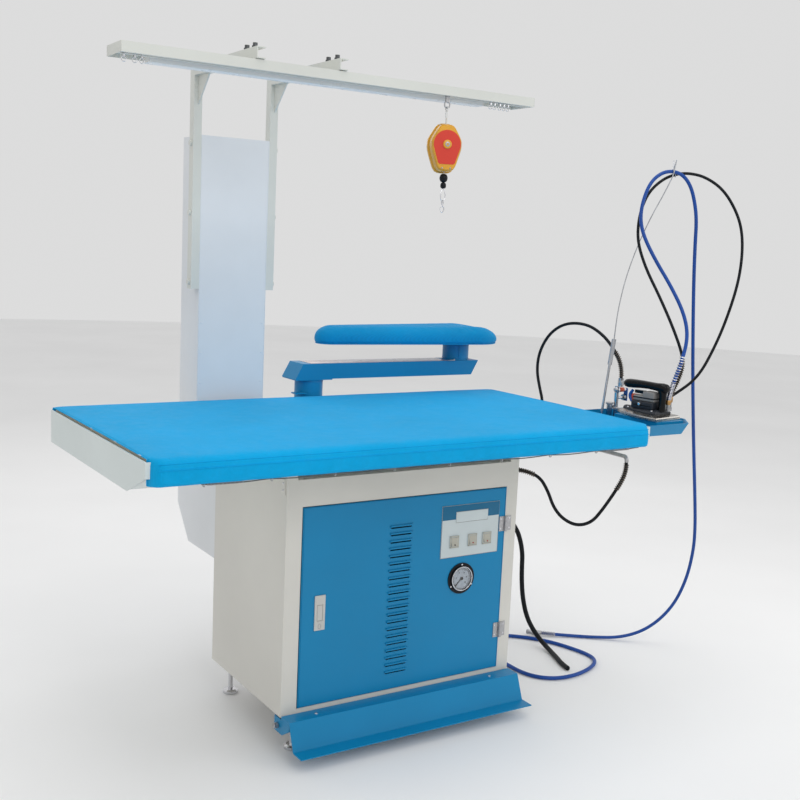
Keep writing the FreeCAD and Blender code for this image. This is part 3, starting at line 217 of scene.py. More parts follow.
BLUE = srgb(2, 128, 178)
AZURE = srgb(0, 172, 234)
MAT = {
    "cabinet_paint": painted("CabinetPaint", srgb(212, 210, 203), 0.42, 0.08),
    "blue_paint": painted("BluePaint", BLUE, 0.36, 0.08, peel=0.0001),
    "duct_paint": painted("DuctPaint", srgb(222, 225, 228), 0.4, 0.08),
    "rail_paint": painted("RailPaint", srgb(212, 214, 208), 0.4, 0.06),
    "cap_paint": painted("CapPaint", srgb(212, 221, 220), 0.4, 0.1),
    "steel": metal("PlainSteel", srgb(178, 178, 180), 0.34),
    "chrome": metal("BrightPlate", srgb(215, 215, 218), 0.14, scale=60, change=0.04),
    "galvanised": metal("ZincSheet", srgb(128, 128, 126), 0.4, scale=150, change=0.5),
    "latch_plastic": moulded("LatchPlate", srgb(196, 196, 192), 0.4),
    "panel_label": moulded("PanelFoil", srgb(196, 206, 208), 0.4, 300, 0.00002, 0.03),
    "switch_plastic": moulded("SwitchShell", srgb(178, 176, 164), 0.36),
    "black_plastic": moulded("BlackPlastic", srgb(20, 22, 27), 0.36, 900, 0.00005, 0.06, 0.0, 0.2),
    "needle_black": moulded("NeedlePaint", srgb(22, 22, 24), 0.5),
    "cast_iron": moulded("CastIron", srgb(62, 66, 72), 0.6, 240, 0.0003, 0.15),
    "tank_plastic": moulded("TankShell", srgb(214, 218, 214), 0.42),
    "foam": moulded("OpenFoam", srgb(222, 214, 190), 0.85, 700, 0.0006),
    "cover_fabric": woven("CoverCloth", AZURE),
    "board_fabric": woven("BoardCloth", srgb(6, 146, 206), 0.0018, 0.0002),
    "light_white": moulded("Diffuser", srgb(232, 236, 238), 0.3, 200, 0.00001, 0.02),
    "balancer_gold": painted("GoldPaint", srgb(218, 158, 42), 0.32, 0.4, 14, 0.12, 0.0002),
    "aluminium": metal("CastAluminium", srgb(182, 184, 186), 0.45),
    "sole_steel": metal("SolePlate", srgb(196, 192, 186), 0.24, (1, 0.06, 1), 260, 0.00005),
    "handle_black": moulded("HandleShell", srgb(6, 7, 10), 0.2, 500, 0.00002, 0.1, 0.03, 0.2),
    "lever_blue": moulded("LeverBlue", srgb(28, 84, 158), 0.35),
    "brass": metal("HoseBrass", srgb(182, 142, 92), 0.34),
    "hose_blue": moulded("BlueHose", srgb(18, 70, 150), 0.4, 700, 0.0001, 0.12),
    "hose_black": moulded("BlackHose", srgb(14, 18, 23), 0.44, 700, 0.0001, 0.15, 0.0, 0.2),
}
EXTRA = {
    "teal": moulded("TealBand", srgb(10, 100, 138), 0.4, 300, 0.00002, 0.03),
    "shroud": moulded("ShroudSlate", srgb(34, 38, 46), 0.4, 600, 0.0001, 0.12),
    "grey": moulded("GreyShell", srgb(134, 132, 130), 0.45),
    "red": moulded("RedLabel", srgb(214, 62, 46), 0.4, 300, 0.00002, 0.05),
    "orange": moulded("OrangePipe", srgb(196, 78, 44), 0.42),
    "bolt_dark": metal("DarkBolt", srgb(96, 98, 100), 0.42),
    "bright": metal("WornChrome", srgb(186, 188, 192), 0.2, (1, 1, 0.2), 90, 0.00004, 0.3),
    "spring_dark": metal("SpringSteel", srgb(104, 96, 88), 0.34),
    "dot_red": moulded("RedDot", srgb(150, 26, 34), 0.3),
    "dial": moulded("DialFace", srgb(208, 216, 224), 0.4, 200, 0.00001, 0.03),
    "tie": moulded("WhiteTie", srgb(228, 228, 226), 0.5),
    # pale pinkish colour: a painted highlight that stands in for the glare of light on the arm's top
    "film": moulded("ArmPaintedGlare", srgb(206, 186, 182), 0.3, 40, 0.0004, 0.1, 0.3),
    "lacing": woven("ElasticLacing", srgb(120, 122, 120), 0.0012, 0.0002),
    "glass": clear("GaugeGlass", (0.96, 0.98, 1.0, 1.0)),
}


def look(name):
    return MAT.get(name) or EXTRA[name]


def repaint_frame():
    """Puts a procedural material on every CAD node and softens its edges."""
    rows = {row["node"]: row["material_slot"] for row in frame["record"]["subparts"]}
    widths = {2.0: "light_bar", 1.2: "cabinet_shell valve_handle", 1.0: "door_panel swing_arm",
              0.8: "foot_pedal end_caps exhaust_column exhaust_duct vacuum_box swing_arm_pillar",
              0.6: "support_arms support_posts", 0.5: "iron_tray",
              0.4: "overhead_rail control_panel latch_paddle switch_left switch_middle switch_right"}
    soft_edge = {node: width for width, nodes in widths.items() for node in nodes.split()}
    for node, item in NODES.items():
        item.data.materials.clear()
        worn = node in ("steam_manifold", "hose_support_rod")
        item.data.materials.append(look("bright" if worn else rows[node]))
        item.data.set_sharp_from_angle(angle=radians(35))
        if node in soft_edge:
            edge = item.modifiers.new("SoftEdge", "BEVEL")
            edge.width, edge.segments = soft_edge[node] * MM, 2
            edge.limit_method, edge.angle_limit = "ANGLE", radians(50)
            edge.use_clamp_overlap = True


# ---------------------------------------------------------------- mesh building

def at(x, y, z):
    return Vector((x, y, z)) * MM


def turns(count):
    """Angles of evenly spaced steps round a circle."""
    return [2 * pi * step / count for step in range(count)]


def add(name, data):
    """New object in the scene."""
    item = bpy.data.objects.new(name, data)
    SCENE.collection.objects.link(item)
    return item


def turned_to(axis):
    """Rotation that takes +Z to an axis."""
    return Vector(UP).rotation_difference(Vector(axis)).to_matrix()


class Shape:
    """Collects faces in the frame's millimetres and makes them one piece."""

    def __init__(self):
        self.mesh = bmesh.new()

    def loft(self, rings, cap=True):
        rows = [[self.mesh.verts.new(Vector(point) * MM) for point in ring] for ring in rings]
        for lower, upper in zip(rows, rows[1:]):
            count = len(lower)
            for index in range(count):
                after = (index + 1) % count
                self.mesh.faces.new((lower[index], lower[after], upper[after], upper[index]))
        if cap:
            self.mesh.faces.new(reversed(rows[0]))
            self.mesh.faces.new(rows[-1])
        return self

    def lathe(self, profile, spot, axis=UP, steps=28, cap=True):
        """Turns (radius, height) pairs about an axis through a spot."""
        turn, base = turned_to(axis), Vector(spot)
        rings = [[base + turn @ Vector((radius * cos(a), radius * sin(a), height)) for a in turns(steps)]
                 for radius, height in profile]
        return self.loft(rings, cap)

    def slab(self, low, high, edge=0.6, turn=None, spot=(0, 0, 0)):
        """Rounded box between two corners, turned about a spot when asked."""
        part = bmesh.new()
        bmesh.ops.create_cube(part, size=1)
        middle = (Vector(low) + Vector(high)) / 2
        span = Vector(high) - Vector(low)
        for vertex in part.verts:
            vertex.co = Vector(a * b for a, b in zip(vertex.co, span)) + middle
        bmesh.ops.bevel(part, geom=part.edges[:], offset=edge, segments=3, profile=0.5, affect="EDGES")
        for vertex in part.verts:
            if turn is not None:
                vertex.co = turn @ vertex.co + Vector(spot)
            vertex.co *= MM
        spare = bpy.data.meshes.new("spare")
        part.to_mesh(spare)
        part.free()
        self.mesh.from_mesh(spare)
        bpy.data.meshes.remove(spare)
        return self

    def ring(self, spot, axis, radius, wire, steps=32, around=10, start=0.0, sweep=2 * pi):
        """Wire bent round a circle, whole or in part."""
        turn, base = turned_to(axis), Vector(spot)
        closed = sweep > 6.28
        line = [base + turn @ Vector((radius * cos(a), radius * sin(a), 0))
                for a in (start + sweep * step / steps for step in range(steps + (0 if closed else 1)))]
        return self.tube(line, wire, around, closed)

    def tube(self, line, radius, around=10, closed=False):
        """Round wire along a list of points; the radius may be a list too."""
        line = [Vector(point) for point in line]
        count, rings, side = len(line), [], None
        for index, point in enumerate(line):
            before = line[index - 1] if closed or index else point
            after = line[(index + 1) % count] if closed or index < count - 1 else point
            heading = (after - before).normalized()
            if side is None:
                side = heading.orthogonal().normalized()
            side = (side - heading * side.dot(heading)).normalized()
            up = heading.cross(side)
            wide = radius[index] if isinstance(radius, (list, tuple)) else radius
            rings.append([point + (side * cos(a) + up * sin(a)) * wide for a in turns(around)])
        if closed:
            first = rings[0]
            lag = min(range(around), key=lambda s: (rings[-1][0] - first[s]).length)
            rings.append(first[lag:] + first[:lag])
        return self.loft(rings, not closed)

    def screw(self, spot, axis, radius=4.0, height=2.0):
        """Domed head with a hexagonal socket."""
        self.lathe([(radius, 0), (radius, height * 0.45), (radius * 0.86, height * 0.85),
                    (radius * 0.55, height), (radius * 0.42, height), (radius * 0.4, height * 0.35)],
                   spot, axis, 18)
        return self

    def piece(self, name, finish, body="machine", angle=38, slot=None):
        bmesh.ops.remove_doubles(self.mesh, verts=self.mesh.verts, dist=1e-7)
        bmesh.ops.recalc_face_normals(self.mesh, faces=self.mesh.faces)
        data = bpy.data.meshes.new(name)
        self.mesh.to_mesh(data)
        self.mesh.free()
        data.shade_smooth()
        data.set_sharp_from_angle(angle=radians(angle))
        data.materials.append(look(finish))
        item = add(name, data)
        if body:
            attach(item, body)
        return item


def heads(name, spots, axis, radius, height, body="machine", finish="chrome"):
    """Screw heads that share one axis and one size."""
    shape = Shape()
    for spot in spots:
        shape.screw(spot, axis, radius, height)
    return shape.piece(name, finish, body)


def bead(name, corners, wire, finish, body="machine", slot=None):
    """Thin round bead that closes on itself."""
    return Shape().tube(corners, wire, 6, True).piece(name, finish, body, slot=slot)


# ---------------------------------------------------------------- camera, light and floor

def camera_and_light():
    yaw, pitch, roll = radians(32.74), radians(-8.15), radians(2.61)
    forward = Vector((sin(yaw) * cos(pitch), cos(yaw) * cos(pitch), sin(pitch)))
    level = Vector((cos(yaw), -sin(yaw), 0))
    upright = level.cross(forward)
    right = level * cos(roll) + upright * sin(roll)
    up = right.cross(forward)
    lens = bpy.data.cameras.new("Camera")
    lens.lens, lens.sensor_width = 49.07, 36
    camera = add("Camera", lens)
    turn = Matrix((right, up, -forward)).transposed()
    camera.matrix_world = Matrix.Translation((-1.665, -2.701, 1.349)) @ turn.to_4x4()
    bpy.context.scene.camera = camera

    for name, spot, size, power in (("Key", (-0.6, -4.2, 3.6), 2.4, 32), ("Fill", (3.2, -2.2, 2.4), 2.4, 16),
                                    ("Back", (0.6, 3.2, 3.0), 2.6, 14), ("Top", (0, -0.3, 4.2), 3.0, 38)):
        lamp = bpy.data.lights.new(name, "AREA")
        lamp.size, lamp.energy = size, power
        item = add(name, lamp)
        item.location = spot
        item.rotation_euler = (Vector((0, 0, 0.8)) - Vector(spot)).to_track_quat("-Z", "Y").to_euler()

    world = bpy.data.worlds.new("Studio")
    world.use_nodes = True
    world.node_tree.nodes["Background"].inputs["Color"].default_value = (1.0, 1.0, 1.0, 1.0)
    world.node_tree.nodes["Background"].inputs["Strength"].default_value = 0.72
    SCENE.world = world
    SCENE.view_settings.view_transform = "Standard"

    sheet = bmesh.new()
    bmesh.ops.create_circle(sheet, cap_ends=True, segments=96, radius=14)
    data = bpy.data.meshes.new("Floor")
    sheet.to_mesh(data)
    sheet.free()
    graph = Graph("FloorPaint")
    graph.link(graph.between(graph.noise(0.8, 3), 0.3, 0.7, (0.86, 0.86, 0.86, 1), (0.9, 0.9, 0.9, 1)),
               "Base Color")
    graph.set(Roughness=0.8)
    data.materials.append(graph.material)
    floor = add("Floor", data)
    floor.location.z = -0.0005


# ---------------------------------------------------------------- hoses

STEAM_HOSE = [
    (793.6, -381.8, 902), (793.6, -381.8, 926), (800, -388, 965), (822, -396, 1033), (843, -394, 1110),
    (838, -374, 1180), (813, -335, 1260), (780, -296, 1334), (755, -261, 1409), (750, -248, 1463),
    (763, -244, 1519), (784, -248, 1570), (814, -261, 1599), (846, -276, 1606), (877, -290, 1595),
    (901, -300, 1565), (918, -305, 1521), (933, -306, 1464), (943, -299, 1386), (958, -292, 1276),
    (984, -281, 1130), (1012, -270, 985), (1043, -258, 845), (1077, -246, 700), (1112, -233, 565),
    (1144, -219, 440), (1160, -205, 350), (1164, -180, 240), (1143, -146, 135), (1089, -96, 52),
    (1019, -40, 12), (940, 18, 6.2), (866, 72, 6.6), (815, 105, 9.2), (775, 130, 12)]

RETURN_HOSE = [
    (808.8, -375.4, 908), (808.8, -375.4, 934), (830, -386, 985), (842, -386, 1040), (818, -356, 1131),
    (796, -308, 1227), (770, -273, 1302), (756, -246, 1372), (756, -235, 1424), (768, -230, 1484),
    (793, -234, 1541), (828, -251, 1579), (861, -269, 1597), (896, -291, 1603), (938, -321, 1594),
    (983, -356, 1559), (1016, -383, 1499), (1033, -400, 1439), (1036, -408, 1363),
    (1027, -409, 1276), (1003, -400, 1173), (973, -387, 1078), (931, -366, 978), (874, -326, 921),
    (852, -302, 900), (842, -290, 872), (842, -290, 842)]

LOOP_HOSE = [
    (703, 94, 800.4), (703, 94, 845), (698, 110, 892), (694, 126, 950), (697, 121, 1014),
    (705, 84, 1078), (720, 24, 1117), (739, -58, 1120), (754, -118, 1091), (764, -160, 1052),
    (771, -197, 1002), (771, -197, 961.4)]

FEED_HOSE = [
    (337.4, -186, 694), (368, -186, 694), (402, -204, 690), (434, -232, 675), (453, -251, 634),
    (466, -264, 588), (487, -285, 554), (518, -315, 536), (549, -345, 550), (569, -365, 590),
    (590, -386, 642), (605, -401, 684), (612, -408, 716), (612, -408, 741.6)]

DRAIN_HOSE = [
    (250, 206.4, 500), (250, 288, 500), (305, 362, 498), (395, 386, 495), (487, 354, 490),
    (566, 294, 478), (630, 224, 456), (671, 158, 408), (687, 131, 326), (684, 126, 240), (686, 116, 160),
    (698, 99, 86), (714, 60, 34), (713, -4, 9.6), (690, -74, 8.4), (668, -126, 8.2), (660, -166, 8.2)]

WATER_HOSE = [
    (180, 206.4, 150), (180, 252, 150), (209, 293, 136), (262, 310, 98), (334, 309, 46), (424, 287, 12),
    (520, 253, 6.4), (606, 209, 6.2), (680, 160, 6.2), (738, 102, 6.2), (774, 40, 6.2),
    (795, -26, 6.2), (807, -84, 6.2), (805, -128, 6.2), (782, -164, 6.2), (729, -195, 6.2),
    (664, -214, 6.2), (600, -216, 6.2), (552, -199, 6.2), (517, -160, 6.2), (503, -108, 6.2),
    (504, -46, 6.2), (500, 14, 6.2), (478, 74, 6.4), (440, 128, 8), (406, 168, 10)]


def hose(name, points, diameter, finish, node):
    """Smooth hose on its route; returns the piece and its centre line in millimetres."""
    curve = bpy.data.curves.new(name, "CURVE")
    curve.dimensions = "3D"
    spline = curve.splines.new("NURBS")
    spline.points.add(len(points) - 1)
    for knot, point in zip(spline.points, points):
        knot.co = (*at(*point), 1)
    spline.order_u = 3
    spline.use_endpoint_u = True
    spline.resolution_u = 8
    item = add(name, curve)
    bare = bpy.data.meshes.new_from_object(item)
    line = [vertex.co / MM for vertex in bare.vertices]
    bpy.data.meshes.remove(bare)
    curve.bevel_depth = diameter / 2 * MM
    curve.bevel_resolution = 5
    curve.use_fill_caps = True
    curve.materials.append(look(finish))
    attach(item, "machine")
    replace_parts(item, node)
    return item, line


def walk(line, start, stop, step):
    """Evenly spaced (point, heading) pairs along a line between two distances from its start."""
    found, gone, target = [], 0.0, start
    for first, second in zip(line, line[1:]):
        run = (second - first).length
        while target <= gone + run and target <= stop:
            found.append((first.lerp(second, (target - gone) / run), (second - first).normalized()))
            target += step
        gone += run
    return found


def coil_spring(name, line, start, stop, radius, pitch, wire=1.5, finish="spring_dark"):
    """Kink guard: a helix of wire round the hose."""
    steps = 10
    side, points = None, []
    for index, (spot, heading) in enumerate(walk(line, start, stop, pitch / steps)):
        if side is None:
            side = heading.orthogonal().normalized()
        side = (side - heading * side.dot(heading)).normalized()
        turn = 2 * pi * index / steps
        points.append(spot + (side * cos(turn) + heading.cross(side) * sin(turn)) * radius)
    return Shape().tube(points, wire, 6).piece(name, finish)


def sleeve(name, line, start, stop, profile, finish):
    """Turned fitting that follows the hose; profile gives (share of the way, radius)."""
    marks = walk(line, start, stop, (stop - start) / 40.0)
    shares = [index / (len(marks) - 1) for index in range(len(marks))]
    radii = []
    for share in shares:
        for (low, first), (high, second) in zip(profile, profile[1:]):
            if low <= share <= high:
                radii.append(first + (second - first) * (share - low) / (high - low))
                break
    return Shape().tube([spot for spot, _ in marks], radii, 18).piece(name, finish, angle=30)


def total(line):
    return sum((b - a).length for a, b in zip(line, line[1:]))


def clamp(name, line, start, stop, radius):
    """Steel band with rounded rims."""
    return sleeve(name, line, start, stop, [(0, radius), (0.1, radius + 0.6), (0.9, radius + 0.6), (1, radius)],
                  "steel")


def hoses():
    """Makes the hoses with their guards and ferrules."""
    rows = (("steam", STEAM_HOSE, 11, "hose_blue", "fitting", "medium", "hanging"),
            ("return", RETURN_HOSE, 9, "hose_black", "object", "medium", "hanging"),
            ("loop", LOOP_HOSE, 10, "hose_black", "object", "stiff", "hanging"),
            ("feed", FEED_HOSE, 10, "hose_black", "object", "stiff", "hanging"),
            ("drain", DRAIN_HOSE, 16, "hose_black", "bare", "stiff", "hanging"),
            ("water", WATER_HOSE, 12, "hose_blue", "connector", "medium", "loose"))
    made = [hose(name + "_hose_run", points, diameter, finish, name + "_hose")
            for name, points, diameter, finish, _, _, _ in rows]
    steam, back, loop, feed, drain, water = (line for _, line in made)
    lengths = [total(line) for _, line in made]
    steam_end, back_end, loop_end, feed_end, _, water_end = lengths
    fittings = (
        [coil_spring("steam_guard_low", steam, 14, 66, 7.6, 4.4, finish="chrome"),
         coil_spring("steam_guard_high", steam, 66, 152, 7.1, 8.0, finish="chrome"),
         sleeve("steam_ferrule", steam, 0, 16, [(0, 7.5), (0.3, 8.2), (0.7, 8.2), (1, 6.2)], "brass"),
         coil_spring("steam_guard_end", steam, steam_end - 62, steam_end - 2, 7.2, 3.6, 1.0, "chrome"),
         steam_nut()],
        [coil_spring("return_guard", back, 16, 150, 6.3, 6.4),
         sleeve("return_ferrule", back, 0, 18, [(0, 6.2), (0.3, 7.0), (0.7, 7.0), (1, 5.0)], "brass"),
         sleeve("return_clip", back, back_end - 18, back_end, [(0, 5), (0.2, 6), (1, 6)], "steel")],
        [coil_spring("loop_guard", loop, loop_end - 90, loop_end - 4, 6.9, 6.4),
         sleeve("loop_ferrule", loop, 0, 24, [(0, 7.2), (0.4, 7.2), (0.5, 6.2), (1, 5.8)], "brass")],
        [coil_spring("feed_guard_low", feed, 8, 96, 6.9, 6.4),
         coil_spring("feed_guard_high", feed, feed_end - 90, feed_end - 4, 6.9, 6.4)],
        [clamp("drain_clamp", drain, 2, 16, 9.2)],
        [water_tap(), clamp("water_clamp", water, 2, 14, 7),
         clamp("water_clamp_end", water, water_end - 14, water_end - 2, 7)])
    # a tie holds the steam and return hoses together where their guards end
    spot, after = walk(steam, 150, 160, 5)[0][0], walk(steam, 160, 170, 5)[0][0]
    other = min(back, key=lambda point: (point - spot).length)
    heading, across = (after - spot).normalized(), (spot - other).normalized()
    reach = (spot - other).length / 2
    outline = [(spot + other) / 2 + across * cos(a) * (reach + 7.2)
               + heading.cross(across) * sin(a) * 7.2 for a in turns(28)]
    Shape().tube(outline, 1.1, 6, True).piece("hose_tie", "tie", slot="switch_plastic")


def steam_nut():
    last, before = Vector(STEAM_HOSE[-1]), Vector(STEAM_HOSE[-2])
    heading = last - before
    nut = Shape().lathe([(6.3, -14), (8.2, -12), (8.2, 1), (9.6, 2), (9.9, 4)], last, heading, 24)
    nut.lathe([(9.9, 4), (9.9, 18), (8.6, 20)], last, heading, 6)
    nut.lathe([(8.2, 20), (8.2, 36), (7.4, 38), (4.6, 38), (4.6, 22)], last, heading, 24)
    item = nut.piece("steam_hose_nut", "steel", angle=30, slot="brass")
    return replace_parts(item, "hose_connectors")


def water_tap():
    last, before = Vector(WATER_HOSE[-1]), Vector(WATER_HOSE[-2])
    heading = last - before
    tap = Shape().lathe([(6.6, -10), (8.8, -8), (9.4, 2), (9.8, 4), (9.8, 24), (9.2, 28)], last, heading, 12)
    tap.lathe([(8.4, 28), (8.4, 33), (6.0, 34), (5.0, 34), (5.0, 26)], last, heading, 24)
    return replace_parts(tap.piece("water_hose_tap", "brass", angle=30), "hose_connectors")


# ---------------------------------------------------------------- table cover and sleeve board

def table_cover():
    """Padded cover: crowned top, soft front roll tucked under, hemmed ends and a rear skirt."""
    front = [(-461, 803), (-467, 800), (-475, 800.5), (-481, 804), (-483.6, 811), (-484, 822), (-483.6, 836),
             (-481.4, 848), (-476.6, 856), (-469, 861), (-458, 863.4)]
    top = [(-458 + 755 * share, 863.6 + 1.8 * sin(pi * share) ** 0.5)
           for share in (step / 46 for step in range(1, 47))]
    rear = [(303, 861.4), (307.6, 856.5), (309.6, 849), (310, 838), (309.6, 824), (309, 807)]
    profile = front + top + rear
    left, right, rows = TABLE_LEFT, TABLE_RIGHT, 190
    shape, grid = Shape(), []
    for row in range(rows + 1):
        share = row / rows
        x = left + (right - left) * share
        edge = min(x - left, right - x)
        droop = 2.4 * exp(-edge / 9)
        # the front roll and its tuck start a little in from the end caps
        tuck = max(0.0, 1 - edge / 24) ** 2
        line = []
        for y, z in profile:
            wave = noise.noise(Vector((x / 170, y / 120, z / 90))) * 0.7
            wave += noise.noise(Vector((x / 46, y / 60, 3.1))) * 0.35
            pleat = 0.0
            if z < 846:
                pleat = sin(x / 17.0 + 2.2 * noise.noise(Vector((x / 90, 0, 0)))) * 0.8 * (846 - z) / 46
            pull = (-451 - y) * tuck if y < -456 else 0.0
            new_y = y + pull + (pleat if y < 0 else -pleat)
            new_z = z + (wave * 0.8 - droop if z > 850 else 0.0)
            line.append(shape.mesh.verts.new(at(x, new_y, min(new_z, 868))))
        grid.append(line)
    for first, second in zip(grid, grid[1:]):
        for index in range(len(profile) - 1):
            shape.mesh.faces.new((first[index], first[index + 1], second[index + 1], second[index]))
    item = shape.piece("cover_padded", "cover_fabric", angle=180)
    up = sum((face.normal.z for face in item.data.polygons), 0.0)
    thick = item.modifiers.new("Cloth", "SOLIDIFY")
    thick.thickness, thick.offset = 2.6 * MM, (-1 if up > 0 else 1)
    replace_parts(item, "table_cover")
    cover_trim(profile, left, right)


def cover_trim(profile, left, right):
    """Hems, loose threads and front seams of the cover, and the foam under it."""
    for name, x in (("hem_left", left + 0.6), ("hem_right", right - 0.6)):
        hem = [(x, max(y, -452), z - 3.0 if z > 850 else z) for y, z in profile if y > -462]
        piece = Shape().tube(hem, 1.7, 8).piece(name, "cover_fabric")

    tufts = Shape()
    for y in (-418, -246, -60):
        for step in range(9):
            lean = 2.6 * sin(step * 2.4)
            tufts.tube([(left + 0.4, y + step * 1.6, 861.2), (left - 1.0, y + step * 1.6 + lean * 0.4, 862.8),
                        (left - 1.2 - 0.2 * step, y + step * 1.6 + lean, 861.4 + 1.2 * cos(step * 1.7))],
                       0.35, 5)
    tufts.piece("hem_threads", "tie", slot="cover_fabric")
    for name, spot in (("seam_front_high", (-479.6, 851.8)), ("seam_front_low", (-483.9, 838.5))):
        run = [(left + 16 + (right - left - 32) * step / 150,
                spot[0] + 0.5 * noise.noise(Vector((step / 5, spot[1], 0))), spot[1]) for step in range(151)]
        piece = Shape().tube(run, 0.9, 6).piece(name, "cover_fabric")

    low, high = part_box("foam_pad")
    foam = Shape().slab((-860, -448, low.z / MM + 0.2), (634, 301, high.z / MM - 2.0), 6)
    pad = foam.piece("foam_sheet", "foam")
    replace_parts(pad, "foam_pad")


def lacing():
    """Elastic that pulls the cover's front hem down to hooks under the table."""
    line = []
    for step in range(241):
        x = -742 + step * 5.6
        line.append((x, -461 - 1.0 * sin(step * pi / 15), 797 - 3.2 * abs(sin(step * pi / 30))))
    Shape().tube(line, 1.5, 7).piece("lacing_elastic", "lacing", slot="hose_black")
    hooks = Shape()
    for x in range(-736, 600, 168):
        hooks.tube([(x, -456, 806), (x, -461, 801), (x + 1, -464, 796), (x + 1, -462, 791), (x, -457, 791),
                    (x, -455, 795)], 1.3, 7)
        hooks.lathe([(4.5, 0), (4.5, 1.6), (3, 2.6)], (x + 8, -448, 809), (0, -0.72, -0.69), 14)
    hooks.piece("lacing_hooks", "steel")
    springs = Shape()
    for start in (-730, 474):
        helix = [(start + turn * 0.36, -461 + 3.6 * cos(turn * 0.7), 796 + 3.6 * sin(turn * 0.7))
                 for turn in range(250)]
        springs.tube(helix, 0.7, 5)
    springs.piece("lacing_springs", "steel")


def board_profile(shrink, count=72):
    """Sleeve board outline: small nose arc, large heel arc and their tangents."""
    nose_x, heel_x, nose_r, heel_r = 25.0, 560.0, 52.0 - shrink, 113.0 - shrink
    lean = asin((heel_r - nose_r) / (heel_x - nose_x))
    points = []
    for step in range(count // 2):
        angle = -pi / 2 - lean + (pi + 2 * lean) * step / (count // 2 - 1)
        points.append((heel_x + heel_r * cos(angle), heel_r * sin(angle)))
    for step in range(count // 2):
        angle = pi / 2 + lean + (pi - 2 * lean) * step / (count // 2 - 1)
        points.append((nose_x + nose_r * cos(angle), nose_r * sin(angle)))
    return points


def sleeve_board():
    """Stuffed board: rounded sides, crowned top and a gathered hem underneath."""
    levels = [(26, 1023.4), (13, 1023.2), (5, 1024.6), (1.2, 1028.5), (0, 1036), (0.4, 1046), (2.8, 1056),
              (8, 1065), (16, 1071.2), (27, 1075.4), (38, 1077.6), (44, 1078.2)]
    rings = []
    for shrink, z in levels:
        ring = []
        for x, y in board_profile(shrink):
            sag = 26.0 * max(0.0, (x - 520) / 153) ** 2.4 + 8.0 * max(0.0, (40 - x) / 70) ** 1.4
            ring.append((x, BOARD_Y + y, z - sag * max(0.0, (z - 1030) / 48)))
        rings.append(ring)
    top = Shape().loft(rings).piece("sleeve_cushion", "board_fabric", "sleeve_board", 180)
    settle(top)
    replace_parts(top, "sleeve_board_pad")
    hem = [(x, BOARD_Y + y, 1024.4) for x, y in board_profile(8.0)]
    band = Shape().tube(hem, 2.0, 8, True).piece("sleeve_hem", "board_fabric", "sleeve_board")
    # thin pale sheet on the arm's top: a painted highlight, the glare of light there painted as a coloured layer
    film = Shape().slab((-60, 322, 963.1), (462, 402, 963.9), 0.3)
    film.piece("arm_top_painted_glare", "film", "arm", slot="rail_paint")
    Shape().slab((455, 306, 964.0), (484, 312, 967.0), 1.2).lathe(
        [(3.2, 0), (3.2, 5), (2, 6)], (482, 309, 964), UP, 16).piece("arm_lock", "steel", "arm")
    seams = Shape().ring((523, BOARD_Y, 969), UP, 45.2, 0.9, 64, 6)
    seams.slab((506, 316.2, 970), (508, 317.4, 1018), 0.4).ring((523, BOARD_Y, 1013), UP, 45.1, 0.7, 64, 6)
    seams.piece("board_post_seams", "blue_paint", "sleeve_board")
    Shape().ring((-45, BOARD_Y, 905), UP, 45.2, 1.1, 64, 6).piece("pillar_seam", "blue_paint")


def evaluated(item):
    """The mesh that an object's modifiers give now."""
    return bpy.data.meshes.new_from_object(item.evaluated_get(bpy.context.evaluated_depsgraph_get()))


def settle(item):
    """Blows the pad up a little with a short cloth run, and keeps the result."""
    remesh = item.modifiers.new("Voxels", "REMESH")
    remesh.mode, remesh.voxel_size, remesh.use_smooth_shade = "VOXEL", 0.005, True
    bpy.context.view_layer.update()
    data = evaluated(item)
    item.modifiers.clear()
    item.data = data
    rest = [vertex.co.copy() for vertex in data.vertices]
    cloth = item.modifiers.new("Cloth", "CLOTH")
    cloth.settings.use_pressure = True
    cloth.settings.uniform_pressure_force = 4
    cloth.settings.tension_stiffness = cloth.settings.compression_stiffness = 20
    cloth.settings.effector_weights.gravity = 0
    for number in range(1, SWELL_FRAMES + 1):
        SCENE.frame_set(number)
    settled = evaluated(item)
    item.modifiers.clear()
    for vertex, start in zip(settled.vertices, rest):
        move = vertex.co - start
        if move.length > SWELL_LIMIT:
            vertex.co = start + move.normalized() * SWELL_LIMIT
        vertex.co.z = max(vertex.co.z, BOARD_UNDERSIDE * MM)
    item.data = settled
    item.data.materials.clear()
    item.data.materials.append(look("board_fabric"))
    item.data.shade_smooth()
    SCENE.frame_set(1)
    item.modifiers.new("Smooth", "SUBSURF").levels = 1


# ---------------------------------------------------------------- iron

IRON_TURN = Matrix.Rotation(radians(9), 3, "Z")
IRON_AT = Vector((775, -405, 857))


def iron_point(x, y, z):
    return IRON_AT + IRON_TURN @ Vector((x, y, z))


def iron_outline(shrink, z, stretch=1.0, heel=None):
    """Flat-iron outline at one height: straight heel, bowed sides and a tip."""
    half, length, low = 62 - shrink, 190 - shrink, shrink if heel is None else heel
    points = []
    for step in range(21):
        share = step / 20
        x = half * (1 - share ** 2.15) ** 0.92
        points.append((x, low + (length - low) * share))
    points += [(-x, y) for x, y in reversed(points[:-1])]
    return [iron_point(x * stretch, y, z) for x, y in points]


